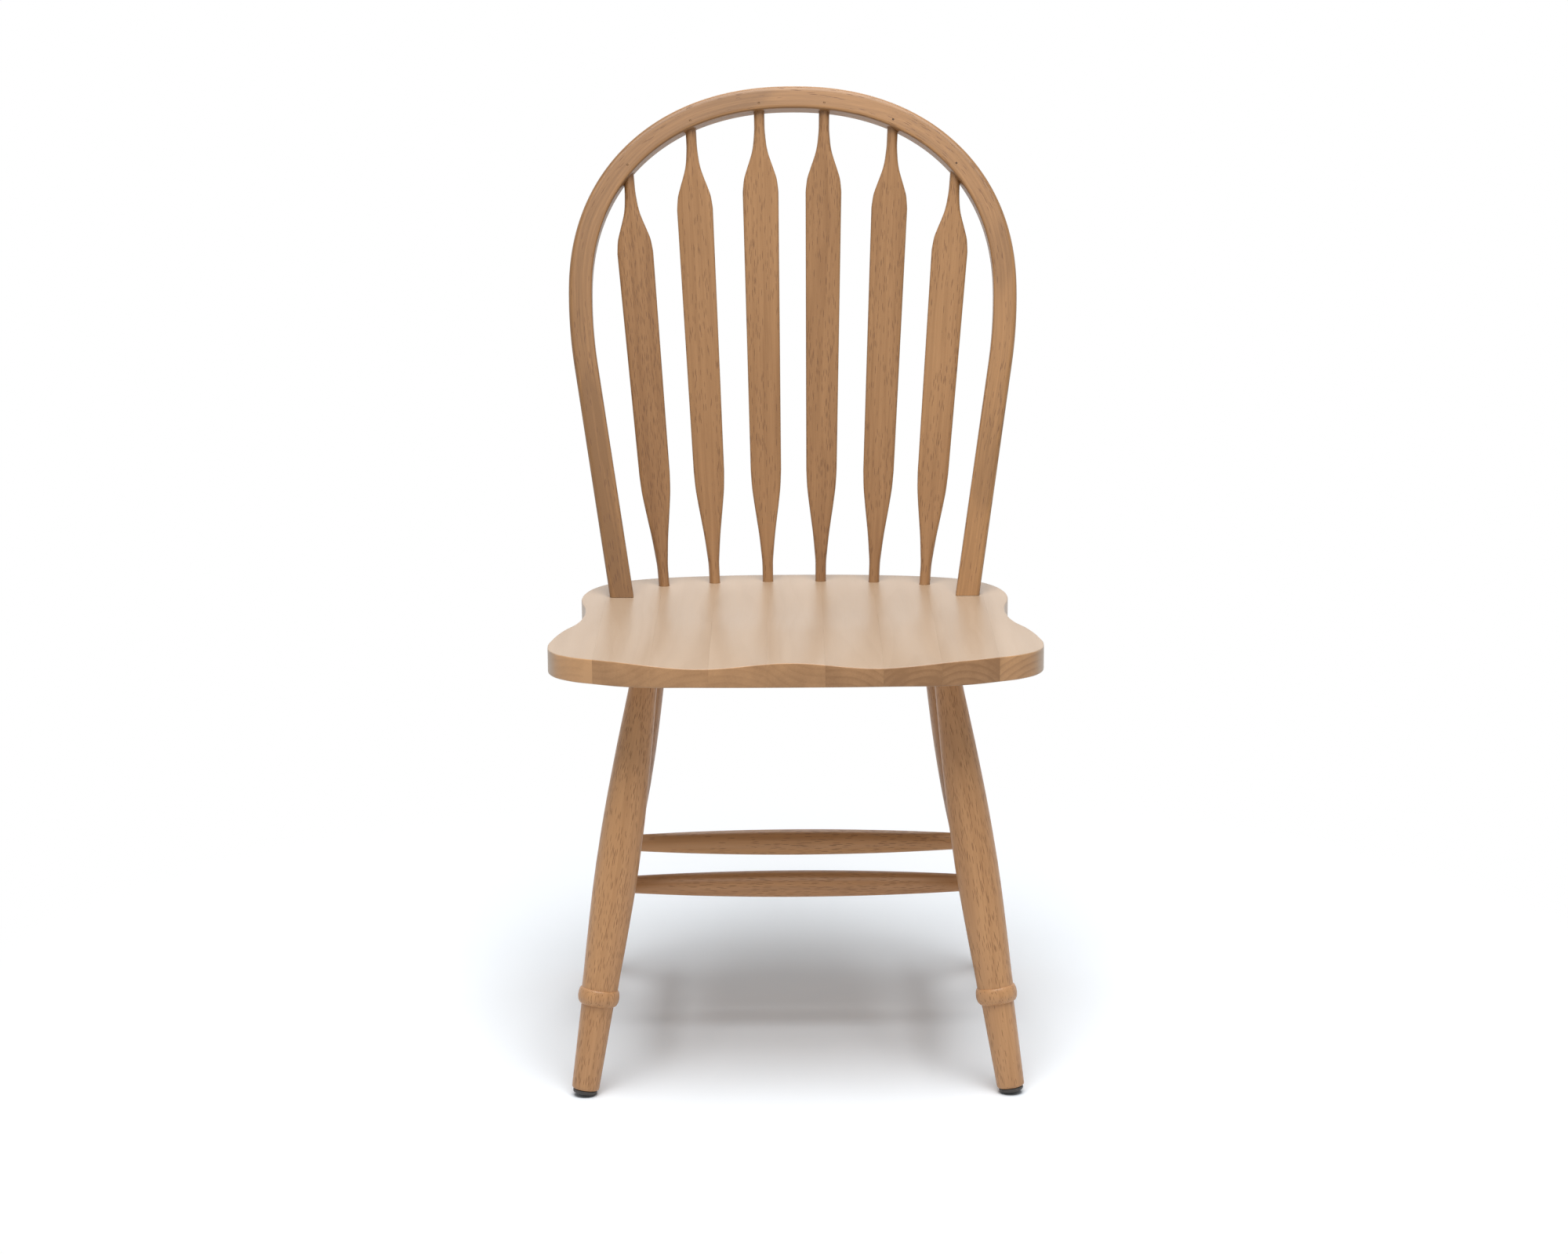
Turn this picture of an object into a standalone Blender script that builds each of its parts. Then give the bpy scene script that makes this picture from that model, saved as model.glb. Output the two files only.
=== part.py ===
"""Arrow back chair in solid hardwood. Metres, +Z up, with the front of the seat towards -Y.

Nine edge-glued boards make the saddled seat. A bent hoop leans back from it and holds six arrow
spindles. Four turned legs stand in blind sockets under the seat. A side stretcher joins each front leg to
the rear leg behind it, and two cross stretchers join the side stretchers.

Places are given from the middle of the seat's front edge, at floor level. The chair_frame empty sits
there, so that the world origin is on the floor under the middle of the chair. Left is -X, as seen from the
front.
"""

import math

import bmesh
import bpy
from mathutils import Matrix, Vector

# Fits and cuts
FIT_GAP = 0.0003
CUT_OVERRUN = 0.012
WELD_DISTANCE = 0.00001

# Facets
LEG_STEPS = 16
STRETCHER_STEPS = 14
GLIDE_STEPS = 14
SOCKET_STEPS = 16
SCREW_STEPS = 12
PIN_STEPS = 8
SPINDLE_POINTS = 12
HOLLOW_STEPS = 24
HOLLOW_RINGS = 36

# Seat
SEAT_HEIGHT = 0.457
SEAT_THICKNESS = 0.025
SEAT_WIDTH = 0.494
SEAT_DEPTH = 0.431
SEAT_EDGE_ROUND = 0.003
BOARD_COUNT = 9
END_BOARD_WIDTH = 0.0475
BOARD_WIDTH = (SEAT_WIDTH - 2 * END_BOARD_WIDTH) / (BOARD_COUNT - 2)
# Right half of the seat's outline, front to back: across in half widths, back in depths
SEAT_OUTLINE_SHARES = (
    (0.000, 0.000),
    (0.400, 0.004),
    (0.650, 0.013),
    (0.800, 0.045),
    (0.917, 0.083),
    (0.980, 0.129),
    (1.000, 0.193),
    (0.992, 0.248),
    (0.955, 0.352),
    (0.908, 0.430),
    (0.886, 0.510),
    (0.887, 0.600),
    (0.906, 0.670),
    (0.913, 0.725),
    (0.897, 0.800),
    (0.862, 0.855),
    (0.810, 0.898),
    (0.740, 0.931),
    (0.650, 0.956),
    (0.390, 0.988),
    (0.000, 1.000),
)

# Two thigh scoops that run out through the seat's front edge, and one dish behind them. The saddle was
# carved a little to the left of the seat's middle.
SADDLE_X = -0.0065
SCOOP_X = 0.089
SCOOP_Y = -0.020
SCOOP_DEPTH = 0.0063
SCOOP_HALF_WIDTH = 0.072
SCOOP_HALF_LENGTH = 0.130
DISH_FROM_REAR = 0.166
DISH_FROM_SIDE = 0.082
DISH_DEPTH = 0.0035
DISH_HALF_WIDTH = SEAT_WIDTH / 2 - DISH_FROM_SIDE
DISH_HALF_LENGTH = 0.105
HOLLOW_BALL_DEPTH = 0.090

# Hoop: its centreline lies in one plane, raked back from the seat
HOOP_WIDTH = 0.0248
HOOP_DEPTH = 0.022
HOOP_ROUND = 0.0045
HOOP_RAKE = math.radians(19.0)
HOOP_END_FROM_SIDE = 0.0632
HOOP_END_FROM_REAR = 0.1070
HOOP_END_X = SEAT_WIDTH / 2 - HOOP_END_FROM_SIDE
HOOP_END_Y = SEAT_DEPTH - HOOP_END_FROM_REAR
HOOP_HALF_WIDTH = 0.2277
HOOP_WIDEST_UP = 0.3272
HOOP_SHOULDER_DROP = 0.0786
HOOP_LEAN = 2 * (HOOP_HALF_WIDTH - HOOP_END_X) / (2 * HOOP_WIDEST_UP - HOOP_SHOULDER_DROP)
HOOP_CROWN_RISE = 0.2128
HOOP_CROWN_POWER = 2.2
HOOP_CROWN_STEPS = 14
HOOP_SHOULDER_STEPS = 4
HOOP_TENON_RADIUS = 0.008
HOOP_TENON_LENGTH = 0.017

# Arrow spindles, from the middle outwards: place on the seat, and place across the hoop in half widths
SPINDLE_FOOT_X = (0.0285, 0.0860, 0.1403)
SPINDLE_FOOT_FROM_REAR = (0.0340, 0.0405, 0.0550)
SPINDLE_HEAD_SHARES = (0.155, 0.4813, 0.779)
SPINDLE_NECK_RADIUS = 0.0057
SPINDLE_BLADE_THICKNESS = 0.010
SPINDLE_LOWER_WIDTH = 0.033
SPINDLE_UPPER_WIDTH = 0.0388
SPINDLE_LOWER_TAPER = 0.120
SPINDLE_UPPER_TAPER = 0.098
SPINDLE_TENON_LENGTH = 0.015
SPINDLE_BLADE_POWER = 5.0
# Distance from the seat in lower tapers, and the share of the swell from neck to blade
LOWER_TAPER_SHARES = (
    (0.00, 0.00),
    (0.15, 0.01),
    (0.29, 0.13),
    (0.43, 0.29),
    (0.57, 0.50),
    (0.72, 0.73),
    (0.86, 0.91),
    (1.00, 1.00),
)
# Distance from the hoop's centreline in upper tapers, and the share of the swell from neck to shoulder
UPPER_TAPER_SHARES = (
    (0.00, 0.00),
    (0.28, 0.00),
    (0.46, 0.09),
    (0.56, 0.21),
    (0.66, 0.42),
    (0.76, 0.66),
    (0.87, 0.89),
    (1.00, 1.00),
)
BLADE_STATIONS = 3

# Legs: the axis of each pair, where it meets the seat's underside and the floor
FRONT_TOP_X, FRONT_TOP_Y = 0.1499, 0.105
FRONT_FOOT_X, FRONT_FOOT_Y = 0.2162, 0.042
REAR_TOP_X, REAR_TOP_FROM_REAR = 0.1449, 0.096
REAR_FOOT_X, REAR_FOOT_BEHIND_SEAT = 0.2219, 0.019
LEG_TENON_LENGTH = 0.015
LEG_TOP_RADIUS = 0.0130
LEG_BELLY_RADIUS = 0.0217
LEG_BELLY_DOWN = 0.205
LEG_ANKLE_RADIUS = 0.0183
LEG_BEAD_DOWN = 0.3395
LEG_BEAD_RADIUS = 0.0209
LEG_BEAD_LENGTH = 0.0168
LEG_SHIN_RADIUS = 0.0164
LEG_FOOT_RADIUS = 0.0139
LEG_FOOT_CHAMFER = 0.0015
BEAD_STEPS = 6
# Distance from seat to belly, and share of the swell between their radii
LEG_SWELL_SHARES = (
    (0.125, 0.14),
    (0.25, 0.32),
    (0.40, 0.54),
    (0.55, 0.72),
    (0.70, 0.87),
    (0.85, 0.96),
    (1.00, 1.00),
)
# Distance from belly to bead, and share of the swell that is left
LEG_DRAW_SHARES = ((0.20, 0.93), (0.45, 0.69), (0.70, 0.38), (0.88, 0.10), (1.00, 0.00))

# Stretchers
STRETCHER_HEIGHT = 0.188
STRETCHER_MIDDLE_RADIUS = 0.0137
STRETCHER_END_RADIUS = 0.0088
STRETCHER_SHOULDER = 0.004
STRETCHER_PROFILE_STEPS = 8
SIDE_TENON_RADIUS = 0.0080
SIDE_TENON_LENGTH = 0.017
CROSS_TENON_RADIUS = 0.0065
CROSS_TENON_LENGTH = 0.009
FRONT_CROSS_Y = 0.154
REAR_CROSS_FROM_REAR = 0.121

# Glides and their nails
GLIDE_RADIUS = 0.0122
GLIDE_SIDE = 0.0014
GLIDE_DOME = 0.0046
GLIDE_EDGE = 0.0004
GLIDE_DOME_STEPS = 6
GLIDE_FLAT = 0.0007
GLIDE_LIP = 0.0010
NAIL_RADIUS = 0.0012
NAIL_LENGTH = 0.018
NAIL_POINT = 0.003
NAIL_HEAD_RADIUS = 0.0040
NAIL_HEAD_THICKNESS = 0.0008

# Screws that hold the hoop, from under the seat
SCREW_RADIUS = 0.0022
SCREW_LENGTH = 0.036
SCREW_POINT = 0.004
SCREW_HEAD_RADIUS = 0.0042
SCREW_HEAD_THICKNESS = 0.0028
SCREW_HEAD_SUNK = 0.0048
SCREW_SOCKET_RADIUS = 0.0020
SCREW_SOCKET_DEPTH = 0.0014
SCREW_SOCKET_SIDES = 6

# Brads through the hoop into the spindles' tops
BRAD_RADIUS = 0.0008
BRAD_LENGTH = 0.016
BRAD_BELOW_CENTRE = 0.0055

# Linear colours and roughness
WOOD_COLOUR = (0.42, 0.23, 0.11, 1.0)
SEAT_COLOUR = (0.60, 0.40, 0.24, 1.0)
GLIDE_COLOUR = (0.05, 0.046, 0.042, 1.0)
STEEL_COLOUR = (0.50, 0.50, 0.50, 1.0)
WOOD_ROUGHNESS = 0.45
GLIDE_ROUGHNESS = 0.6
STEEL_ROUGHNESS = 0.35

UP = Vector((0, 0, 1))
ACROSS = Vector((1, 0, 0))
BACK = Vector((0, 1, 0))
SEAT_UNDERSIDE = SEAT_HEIGHT - SEAT_THICKNESS
HOOP_TURN = Matrix.Rotation(math.pi / 2 - HOOP_RAKE, 4, "X")
HOOP_FRAME = Matrix.Translation((0, HOOP_END_Y, SEAT_HEIGHT)) @ HOOP_TURN


def clear_scene():
    for obj in list(bpy.data.objects):
        bpy.data.objects.remove(obj)


def make_collection(name, parent):
    collection = bpy.data.collections.new(name)
    parent.children.link(collection)
    return collection


def make_material(name, colour, roughness, metallic=0):
    material = bpy.data.materials.new(name)
    material.use_nodes = True
    shader = material.node_tree.nodes["Principled BSDF"]
    shader.inputs["Base Color"].default_value = colour
    shader.inputs["Roughness"].default_value = roughness
    shader.inputs["Metallic"].default_value = metallic
    return material


def aim(origin, towards, across=ACROSS):
    """The matrix of a frame at origin whose +Z points at towards and whose +X lies near across."""
    along = (towards - origin).normalized()
    back = along.cross(across).normalized()
    side = back.cross(along)
    turn = Matrix((side, back, along)).transposed().to_4x4()
    return Matrix.Translation(origin) @ turn


def place(name, mesh, collection, frame, material=None):
    """Adds an object with this mesh at frame, a matrix in the chair's own frame."""
    obj = bpy.data.objects.new(name, mesh)
    collection.objects.link(obj)
    obj.parent = chair_frame
    obj.matrix_local = frame
    if material:
        mesh.materials.append(material)
    return obj


def mesh_from(name, bm, smooth=True):
    bmesh.ops.recalc_face_normals(bm, faces=bm.faces[:])
    mesh = bpy.data.meshes.new(name)
    bm.to_mesh(mesh)
    bm.free()
    if smooth:
        mesh.shade_smooth()
        mesh.set_sharp_from_angle(angle=math.radians(35))
    return mesh


def turned(name, profile, steps, collection, frame, material=None):
    """A turned piece: a Screw modifier spins (radius, height) pairs, listed from the top down, about Z."""
    bm = bmesh.new()
    points = [bm.verts.new((radius, 0, height)) for radius, height in profile]
    for first, second in zip(points, points[1:]):
        bm.edges.new((first, second))
    mesh = bpy.data.meshes.new(name)
    bm.to_mesh(mesh)
    bm.free()
    obj = place(name, mesh, collection, frame, material)
    screw = obj.modifiers.new("turning", "SCREW")
    screw.axis = "Z"
    screw.angle = 2 * math.pi
    screw.steps = steps
    screw.render_steps = steps
    screw.use_merge_vertices = True
    screw.merge_threshold = WELD_DISTANCE
    screw.use_smooth_shade = True
    return obj


def hide_cutter(obj):
    obj.hide_render = True
    obj.display_type = "WIRE"
    return obj


def bar_cutter(name, start, end, radius, steps, collection):
    """A round cutter from start to end, both in the chair's frame."""
    bm = bmesh.new()
    bmesh.ops.create_cone(
        bm,
        cap_ends=True,
        segments=steps,
        radius1=radius,
        radius2=radius,
        depth=(end - start).length,
    )
    along = end - start
    across = BACK if abs(along.x) > abs(along.y) else ACROSS
    frame = aim((start + end) / 2, end, across)
    return hide_cutter(place(name, mesh_from(name, bm, smooth=False), collection, frame))


def box_cutter(name, low, high, collection):
    """A box cutter between two corners in the chair's frame."""
    bm = bmesh.new()
    bmesh.ops.create_cube(bm, size=1)
    bmesh.ops.scale(bm, vec=high - low, verts=bm.verts[:])
    bmesh.ops.translate(bm, vec=(low + high) / 2, verts=bm.verts[:])
    return hide_cutter(place(name, mesh_from(name, bm, smooth=False), collection, Matrix()))


def boolean(obj, name, operation, other):
    """Adds a Boolean with another object, or with every object of a collection."""
    modifier = obj.modifiers.new(name, "BOOLEAN")
    modifier.operation = operation
    modifier.solver = "EXACT"
    if isinstance(other, bpy.types.Collection):
        modifier.operand_type = "COLLECTION"
        modifier.collection = other
    else:
        modifier.object = other
    return modifier


def curve_to_mesh(curve_object, name):
    """The curve's evaluated mesh with its caps welded. The curve object goes."""
    bpy.context.view_layer.update()
    graph = bpy.context.evaluated_depsgraph_get()
    mesh = bpy.data.meshes.new_from_object(curve_object.evaluated_get(graph))
    bm = bmesh.new()
    bm.from_mesh(mesh)
    bmesh.ops.remove_doubles(bm, verts=bm.verts[:], dist=WELD_DISTANCE)
    bpy.data.objects.remove(curve_object)
    return mesh_from(name, bm)


def hoop_point(across, up, out=0):
    """A point of the hoop's plane in the chair's frame; out is towards the front."""
    return HOOP_FRAME @ Vector((across, up, out))


def hoop_crown_height(across):
    """How high the hoop's centreline is, along its rake, over a place across the chair."""
    share = min(abs(across) / HOOP_HALF_WIDTH, 1)
    return HOOP_WIDEST_UP + HOOP_CROWN_RISE * (1 - share**HOOP_CROWN_POWER) ** (1 / HOOP_CROWN_POWER)


def hoop_centreline():
    """(across, up) points from below the left end, over the crown, to below the right end."""
    half = [(HOOP_END_X - HOOP_LEAN * HOOP_WIDTH, -HOOP_WIDTH), (HOOP_END_X, 0)]
    for step in range(HOOP_SHOULDER_STEPS):
        drop_share = 1 - step / HOOP_SHOULDER_STEPS
        inward = HOOP_LEAN * HOOP_SHOULDER_DROP * drop_share**2 / 2
        half.append((HOOP_HALF_WIDTH - inward, HOOP_WIDEST_UP - HOOP_SHOULDER_DROP * drop_share))
    for step in range(HOOP_CROWN_STEPS + 1):
        turn = math.pi / 2 * step / HOOP_CROWN_STEPS
        across = HOOP_HALF_WIDTH * max(math.cos(turn), 0) ** (2 / HOOP_CROWN_POWER)
        up = HOOP_WIDEST_UP + HOOP_CROWN_RISE * math.sin(turn) ** (2 / HOOP_CROWN_POWER)
        half.append((across if step < HOOP_CROWN_STEPS else 0, up))
    return [(-across, up) for across, up in half] + half[-2::-1]


def poly_curve(name, points, cyclic):
    curve = bpy.data.curves.new(name, "CURVE")
    curve.dimensions = "2D"
    spline = curve.splines.new("POLY")
    spline.points.add(len(points) - 1)
    for point, (x, y) in zip(spline.points, points):
        point.co = (x, y, 0, 1)
    spline.use_cyclic_u = cyclic
    return curve


def hoop_section():
    """The hoop's rounded rectangle, as (across, deep) points."""
    corner_x = HOOP_WIDTH / 2 - HOOP_ROUND
    corner_y = HOOP_DEPTH / 2 - HOOP_ROUND
    points = []
    for corner, (side_x, side_y) in enumerate(((1, 1), (-1, 1), (-1, -1), (1, -1))):
        for step in range(3):
            turn = math.pi / 2 * (corner + step / 2)
            points.append(
                (
                    side_x * corner_x + HOOP_ROUND * math.cos(turn),
                    side_y * corner_y + HOOP_ROUND * math.sin(turn),
                )
            )
    return points


def hoop_end(side):
    """Where the hoop's centreline meets the seat's top on one side, and the unit vector up along it there."""
    end = hoop_point(side * HOOP_END_X, 0)
    above = hoop_point(side * (HOOP_END_X + HOOP_LEAN * HOOP_WIDTH), HOOP_WIDTH)
    return end, (above - end).normalized()


def make_hoop():
    section = bpy.data.objects.new("hoop_section", poly_curve("hoop_section", hoop_section(), True))
    cutters.objects.link(section)
    curve = poly_curve("hoop", hoop_centreline(), False)
    curve.bevel_mode = "OBJECT"
    curve.bevel_object = section
    curve.use_fill_caps = True
    guide = bpy.data.objects.new("hoop_guide", curve)
    chair.objects.link(guide)
    mesh = curve_to_mesh(guide, "hoop")
    bpy.data.objects.remove(section)
    hoop = place("hoop", mesh, chair, HOOP_FRAME, wood)
    trim = box_cutter(
        "hoop_trim",
        Vector((-SEAT_WIDTH / 2, 0, SEAT_HEIGHT - 2 * HOOP_WIDTH)),
        Vector((SEAT_WIDTH / 2, SEAT_DEPTH, SEAT_HEIGHT + FIT_GAP)),
        cutters,
    )
    boolean(hoop, "trim to the seat", "DIFFERENCE", trim)
    for side, word in SIDES:
        end, up = hoop_end(side)
        tenon = bar_cutter(
            f"hoop_tenon_{word}",
            end - up * HOOP_TENON_LENGTH,
            end + up * HOOP_WIDTH,
            HOOP_TENON_RADIUS,
            SOCKET_STEPS,
            cutters,
        )
        boolean(hoop, f"{word} tenon", "UNION", tenon)
    boolean(hoop, "sockets", "DIFFERENCE", hoop_cutters)
    return hoop


def spindle_ends(index, side):
    """The spindle's axis: its point on the seat's top and its point on the hoop's centreline."""
    foot_back = SEAT_DEPTH - SPINDLE_FOOT_FROM_REAR[index]
    foot = Vector((side * SPINDLE_FOOT_X[index], foot_back, SEAT_HEIGHT))
    across = side * SPINDLE_HEAD_SHARES[index] * HOOP_HALF_WIDTH
    return foot, hoop_point(across, hoop_crown_height(across))


def spindle_stations(length):
    """(height, half width, swell) down the spindle, from its tenon in the seat to its tenon in the hoop."""
    stations = [(-SPINDLE_TENON_LENGTH, SPINDLE_NECK_RADIUS, 0)]
    lower, upper = SPINDLE_LOWER_WIDTH / 2, SPINDLE_UPPER_WIDTH / 2
    for share, swell in LOWER_TAPER_SHARES:
        half = SPINDLE_NECK_RADIUS + (lower - SPINDLE_NECK_RADIUS) * swell
        stations.append((share * SPINDLE_LOWER_TAPER, half, swell))
    blade = length - SPINDLE_LOWER_TAPER - SPINDLE_UPPER_TAPER
    for station in range(1, BLADE_STATIONS + 1):
        share = station / (BLADE_STATIONS + 1)
        stations.append((SPINDLE_LOWER_TAPER + share * blade, lower + share * (upper - lower), 1))
    for share, swell in reversed(UPPER_TAPER_SHARES[1:]):
        half = SPINDLE_NECK_RADIUS + (upper - SPINDLE_NECK_RADIUS) * swell
        stations.append((length - share * SPINDLE_UPPER_TAPER, half, swell))
    stations.append((length - FIT_GAP, SPINDLE_NECK_RADIUS, 0))
    return stations


def make_spindle(name, foot, head):
    """A loft from a round neck through a flat blade to a round neck."""
    bm = bmesh.new()
    rings = []
    for height, half_width, swell in spindle_stations((head - foot).length):
        made = bmesh.ops.create_circle(bm, segments=SPINDLE_POINTS, radius=1)["verts"]
        half_thickness = SPINDLE_NECK_RADIUS + (SPINDLE_BLADE_THICKNESS / 2 - SPINDLE_NECK_RADIUS) * swell
        power = 2 + (SPINDLE_BLADE_POWER - 2) * swell
        for index, vert in enumerate(made):
            turn = 2 * math.pi * (index + 0.5) / SPINDLE_POINTS
            x, y = math.cos(turn), math.sin(turn)
            x = math.copysign(abs(x) ** (2 / power), x) * half_width
            y = math.copysign(abs(y) ** (2 / power), y) * half_thickness
            vert.co = (x, y, height)
        ring = [edge for edge in bm.edges if edge.verts[0] in made and edge.verts[1] in made]
        rings.append(ring)
    for first, second in zip(rings, rings[1:]):
        bmesh.ops.bridge_loops(bm, edges=first + second)
    bmesh.ops.holes_fill(bm, edges=rings[0] + rings[-1], sides=SPINDLE_POINTS)
    return place(name, mesh_from(name, bm), chair, aim(foot, head), wood)


def leg_line(pair):
    """The leg's axis on the right side: its points on the seat's underside and on the floor."""
    if pair == "front":
        top, foot = (FRONT_TOP_X, FRONT_TOP_Y), (FRONT_FOOT_X, FRONT_FOOT_Y)
    else:
        top = (REAR_TOP_X, SEAT_DEPTH - REAR_TOP_FROM_REAR)
        foot = (REAR_FOOT_X, SEAT_DEPTH + REAR_FOOT_BEHIND_SEAT)
    return Vector((*top, SEAT_UNDERSIDE)), Vector((*foot, 0))


def mirrored(point, side):
    return Vector((side * point.x, point.y, point.z))


def leg_end(top, floor):
    """The middle of the foot's cut end, held up by the tilted glide less the flat worn on it."""
    up = (top - floor).normalized()
    tilt = up.angle(UP)
    lowest = math.hypot(GLIDE_RADIUS * math.sin(tilt), GLIDE_DOME * math.cos(tilt))
    height = (GLIDE_SIDE + FIT_GAP) * math.cos(tilt) + lowest - GLIDE_FLAT
    return floor + (top - floor) * (height / top.z)


def leg_profile(length):
    """(radius, height) pairs down the leg; height 0 is at the seat's underside."""
    profile = [(0, LEG_TENON_LENGTH), (LEG_TOP_RADIUS, LEG_TENON_LENGTH), (LEG_TOP_RADIUS, 0)]
    for share, swell in LEG_SWELL_SHARES:
        radius = LEG_TOP_RADIUS + (LEG_BELLY_RADIUS - LEG_TOP_RADIUS) * swell
        profile.append((radius, -share * LEG_BELLY_DOWN))
    bead_top = LEG_BEAD_DOWN - LEG_BEAD_LENGTH / 2
    for share, swell in LEG_DRAW_SHARES:
        radius = LEG_ANKLE_RADIUS + (LEG_BELLY_RADIUS - LEG_ANKLE_RADIUS) * swell
        profile.append((radius, -LEG_BELLY_DOWN - share * (bead_top - LEG_BELLY_DOWN)))
    for step in range(1, BEAD_STEPS + 1):
        turn = math.pi * (step / BEAD_STEPS - 0.5)
        root = LEG_ANKLE_RADIUS if turn < 0 else LEG_SHIN_RADIUS
        radius = root + (LEG_BEAD_RADIUS - root) * math.cos(turn)
        profile.append((radius, -LEG_BEAD_DOWN - LEG_BEAD_LENGTH / 2 * math.sin(turn)))
    profile.append((LEG_FOOT_RADIUS, LEG_FOOT_CHAMFER - length))
    profile.append((LEG_FOOT_RADIUS - LEG_FOOT_CHAMFER, -length))
    profile.append((0, -length))
    return profile


def make_leg(pair, side, word):
    top, floor = (mirrored(point, side) for point in leg_line(pair))
    end = leg_end(top, floor)
    up = (top - floor).normalized()
    name = f"{pair}_{word}_leg"
    own_cutters = make_collection(f"{name}_cutters", cutters)
    bar_cutter(
        f"{name}_nail_hole",
        end - up * CUT_OVERRUN,
        end + up * (NAIL_LENGTH + FIT_GAP),
        NAIL_RADIUS + FIT_GAP,
        PIN_STEPS,
        own_cutters,
    )
    front, rear = side_stretcher_ends(side)
    along = (rear - front).normalized()
    shoulder, inward = (front, along) if pair == "front" else (rear, -along)
    bar_cutter(
        f"{name}_stretcher_socket",
        shoulder - inward * (SIDE_TENON_LENGTH + FIT_GAP),
        shoulder + inward * CUT_OVERRUN,
        SIDE_TENON_RADIUS + FIT_GAP,
        SOCKET_STEPS,
        own_cutters,
    )
    profile = leg_profile((top - end).length)
    leg = turned(name, profile, LEG_STEPS, chair, aim(top, top + up), wood)
    boolean(leg, "sockets", "DIFFERENCE", own_cutters)
    bar_cutter(
        f"{name}_seat_socket",
        top - up * CUT_OVERRUN,
        top + up * (LEG_TENON_LENGTH + FIT_GAP),
        LEG_TOP_RADIUS + FIT_GAP,
        LEG_STEPS,
        seat_cutters,
    )
    make_glide(pair, side, word, aim(end - up * FIT_GAP, end))


def glide_profile():
    """(radius, height) pairs from the nail head's pocket over the top, at height 0, and down the dome."""
    pocket_floor = -(GLIDE_LIP + NAIL_HEAD_THICKNESS + 2 * FIT_GAP)
    pocket_radius = NAIL_HEAD_RADIUS + FIT_GAP
    hole_radius = NAIL_RADIUS + FIT_GAP
    profile = [(0, pocket_floor), (pocket_radius, pocket_floor), (pocket_radius, -GLIDE_LIP)]
    profile += [(hole_radius, -GLIDE_LIP), (hole_radius, 0)]
    profile += [(GLIDE_RADIUS - GLIDE_EDGE, 0), (GLIDE_RADIUS, -GLIDE_EDGE)]
    for step in range(GLIDE_DOME_STEPS):
        turn = math.pi / 2 * step / GLIDE_DOME_STEPS
        profile.append((GLIDE_RADIUS * math.cos(turn), -GLIDE_SIDE - GLIDE_DOME * math.sin(turn)))
    profile.append((0, -GLIDE_SIDE - GLIDE_DOME))
    return profile


def make_glide(pair, side, word, frame):
    name = f"{pair}_{word}_glide"
    glide = turned(name, glide_profile(), GLIDE_STEPS, chair, frame, plastic)
    boolean(glide, "flat on the floor", "DIFFERENCE", floor_cutter)
    head_top = -GLIDE_LIP - FIT_GAP
    head_bottom = head_top - NAIL_HEAD_THICKNESS
    profile = [(0, NAIL_LENGTH - FIT_GAP), (NAIL_RADIUS, NAIL_LENGTH - NAIL_POINT)]
    profile += [(NAIL_RADIUS, head_top), (NAIL_HEAD_RADIUS, head_top)]
    profile += [(NAIL_HEAD_RADIUS, head_bottom), (0, head_bottom)]
    turned(f"{name}_nail", profile, PIN_STEPS, chair, frame, steel)


def leg_axis_at(pair, side, height):
    """The leg's axis at a height above the floor."""
    top, floor = (mirrored(point, side) for point in leg_line(pair))
    return floor + (top - floor) * (height / top.z)


def stretcher_stand_off(pair):
    """How far from a leaning leg's axis a side stretcher's shoulder clears the leg all round."""
    top, floor = leg_line(pair)
    lean = abs(top.y - floor.y) / top.z
    return LEG_BELLY_RADIUS * math.hypot(1, lean) + SIDE_TENON_RADIUS * lean


def side_stretcher_ends(side):
    """The middles of a side stretcher's shoulders, at the front leg and at the rear leg."""
    front = leg_axis_at("front", side, STRETCHER_HEIGHT)
    rear = leg_axis_at("rear", side, STRETCHER_HEIGHT)
    along = (rear - front).normalized()
    return front + along * stretcher_stand_off("front"), rear - along * stretcher_stand_off("rear")


def swell_radius(share):
    """A stretcher's radius at a share of the way from its middle to the end of its body."""
    return STRETCHER_END_RADIUS + (STRETCHER_MIDDLE_RADIUS - STRETCHER_END_RADIUS) * (1 - share**2)


def stretcher_profile(length, tenon_radius, tenon_length):
    """(radius, height) pairs down a stretcher centred on height 0, with length from shoulder to shoulder."""
    reach = length / 2
    tip = reach + tenon_length
    profile = [(0, tip), (tenon_radius, tip), (tenon_radius, reach)]
    body = reach - STRETCHER_SHOULDER
    for step in range(STRETCHER_PROFILE_STEPS + 1):
        share = 1 - 2 * step / STRETCHER_PROFILE_STEPS
        profile.append((swell_radius(share), share * body))
    profile += [(tenon_radius, -reach), (tenon_radius, -tip), (0, -tip)]
    return profile


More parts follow.
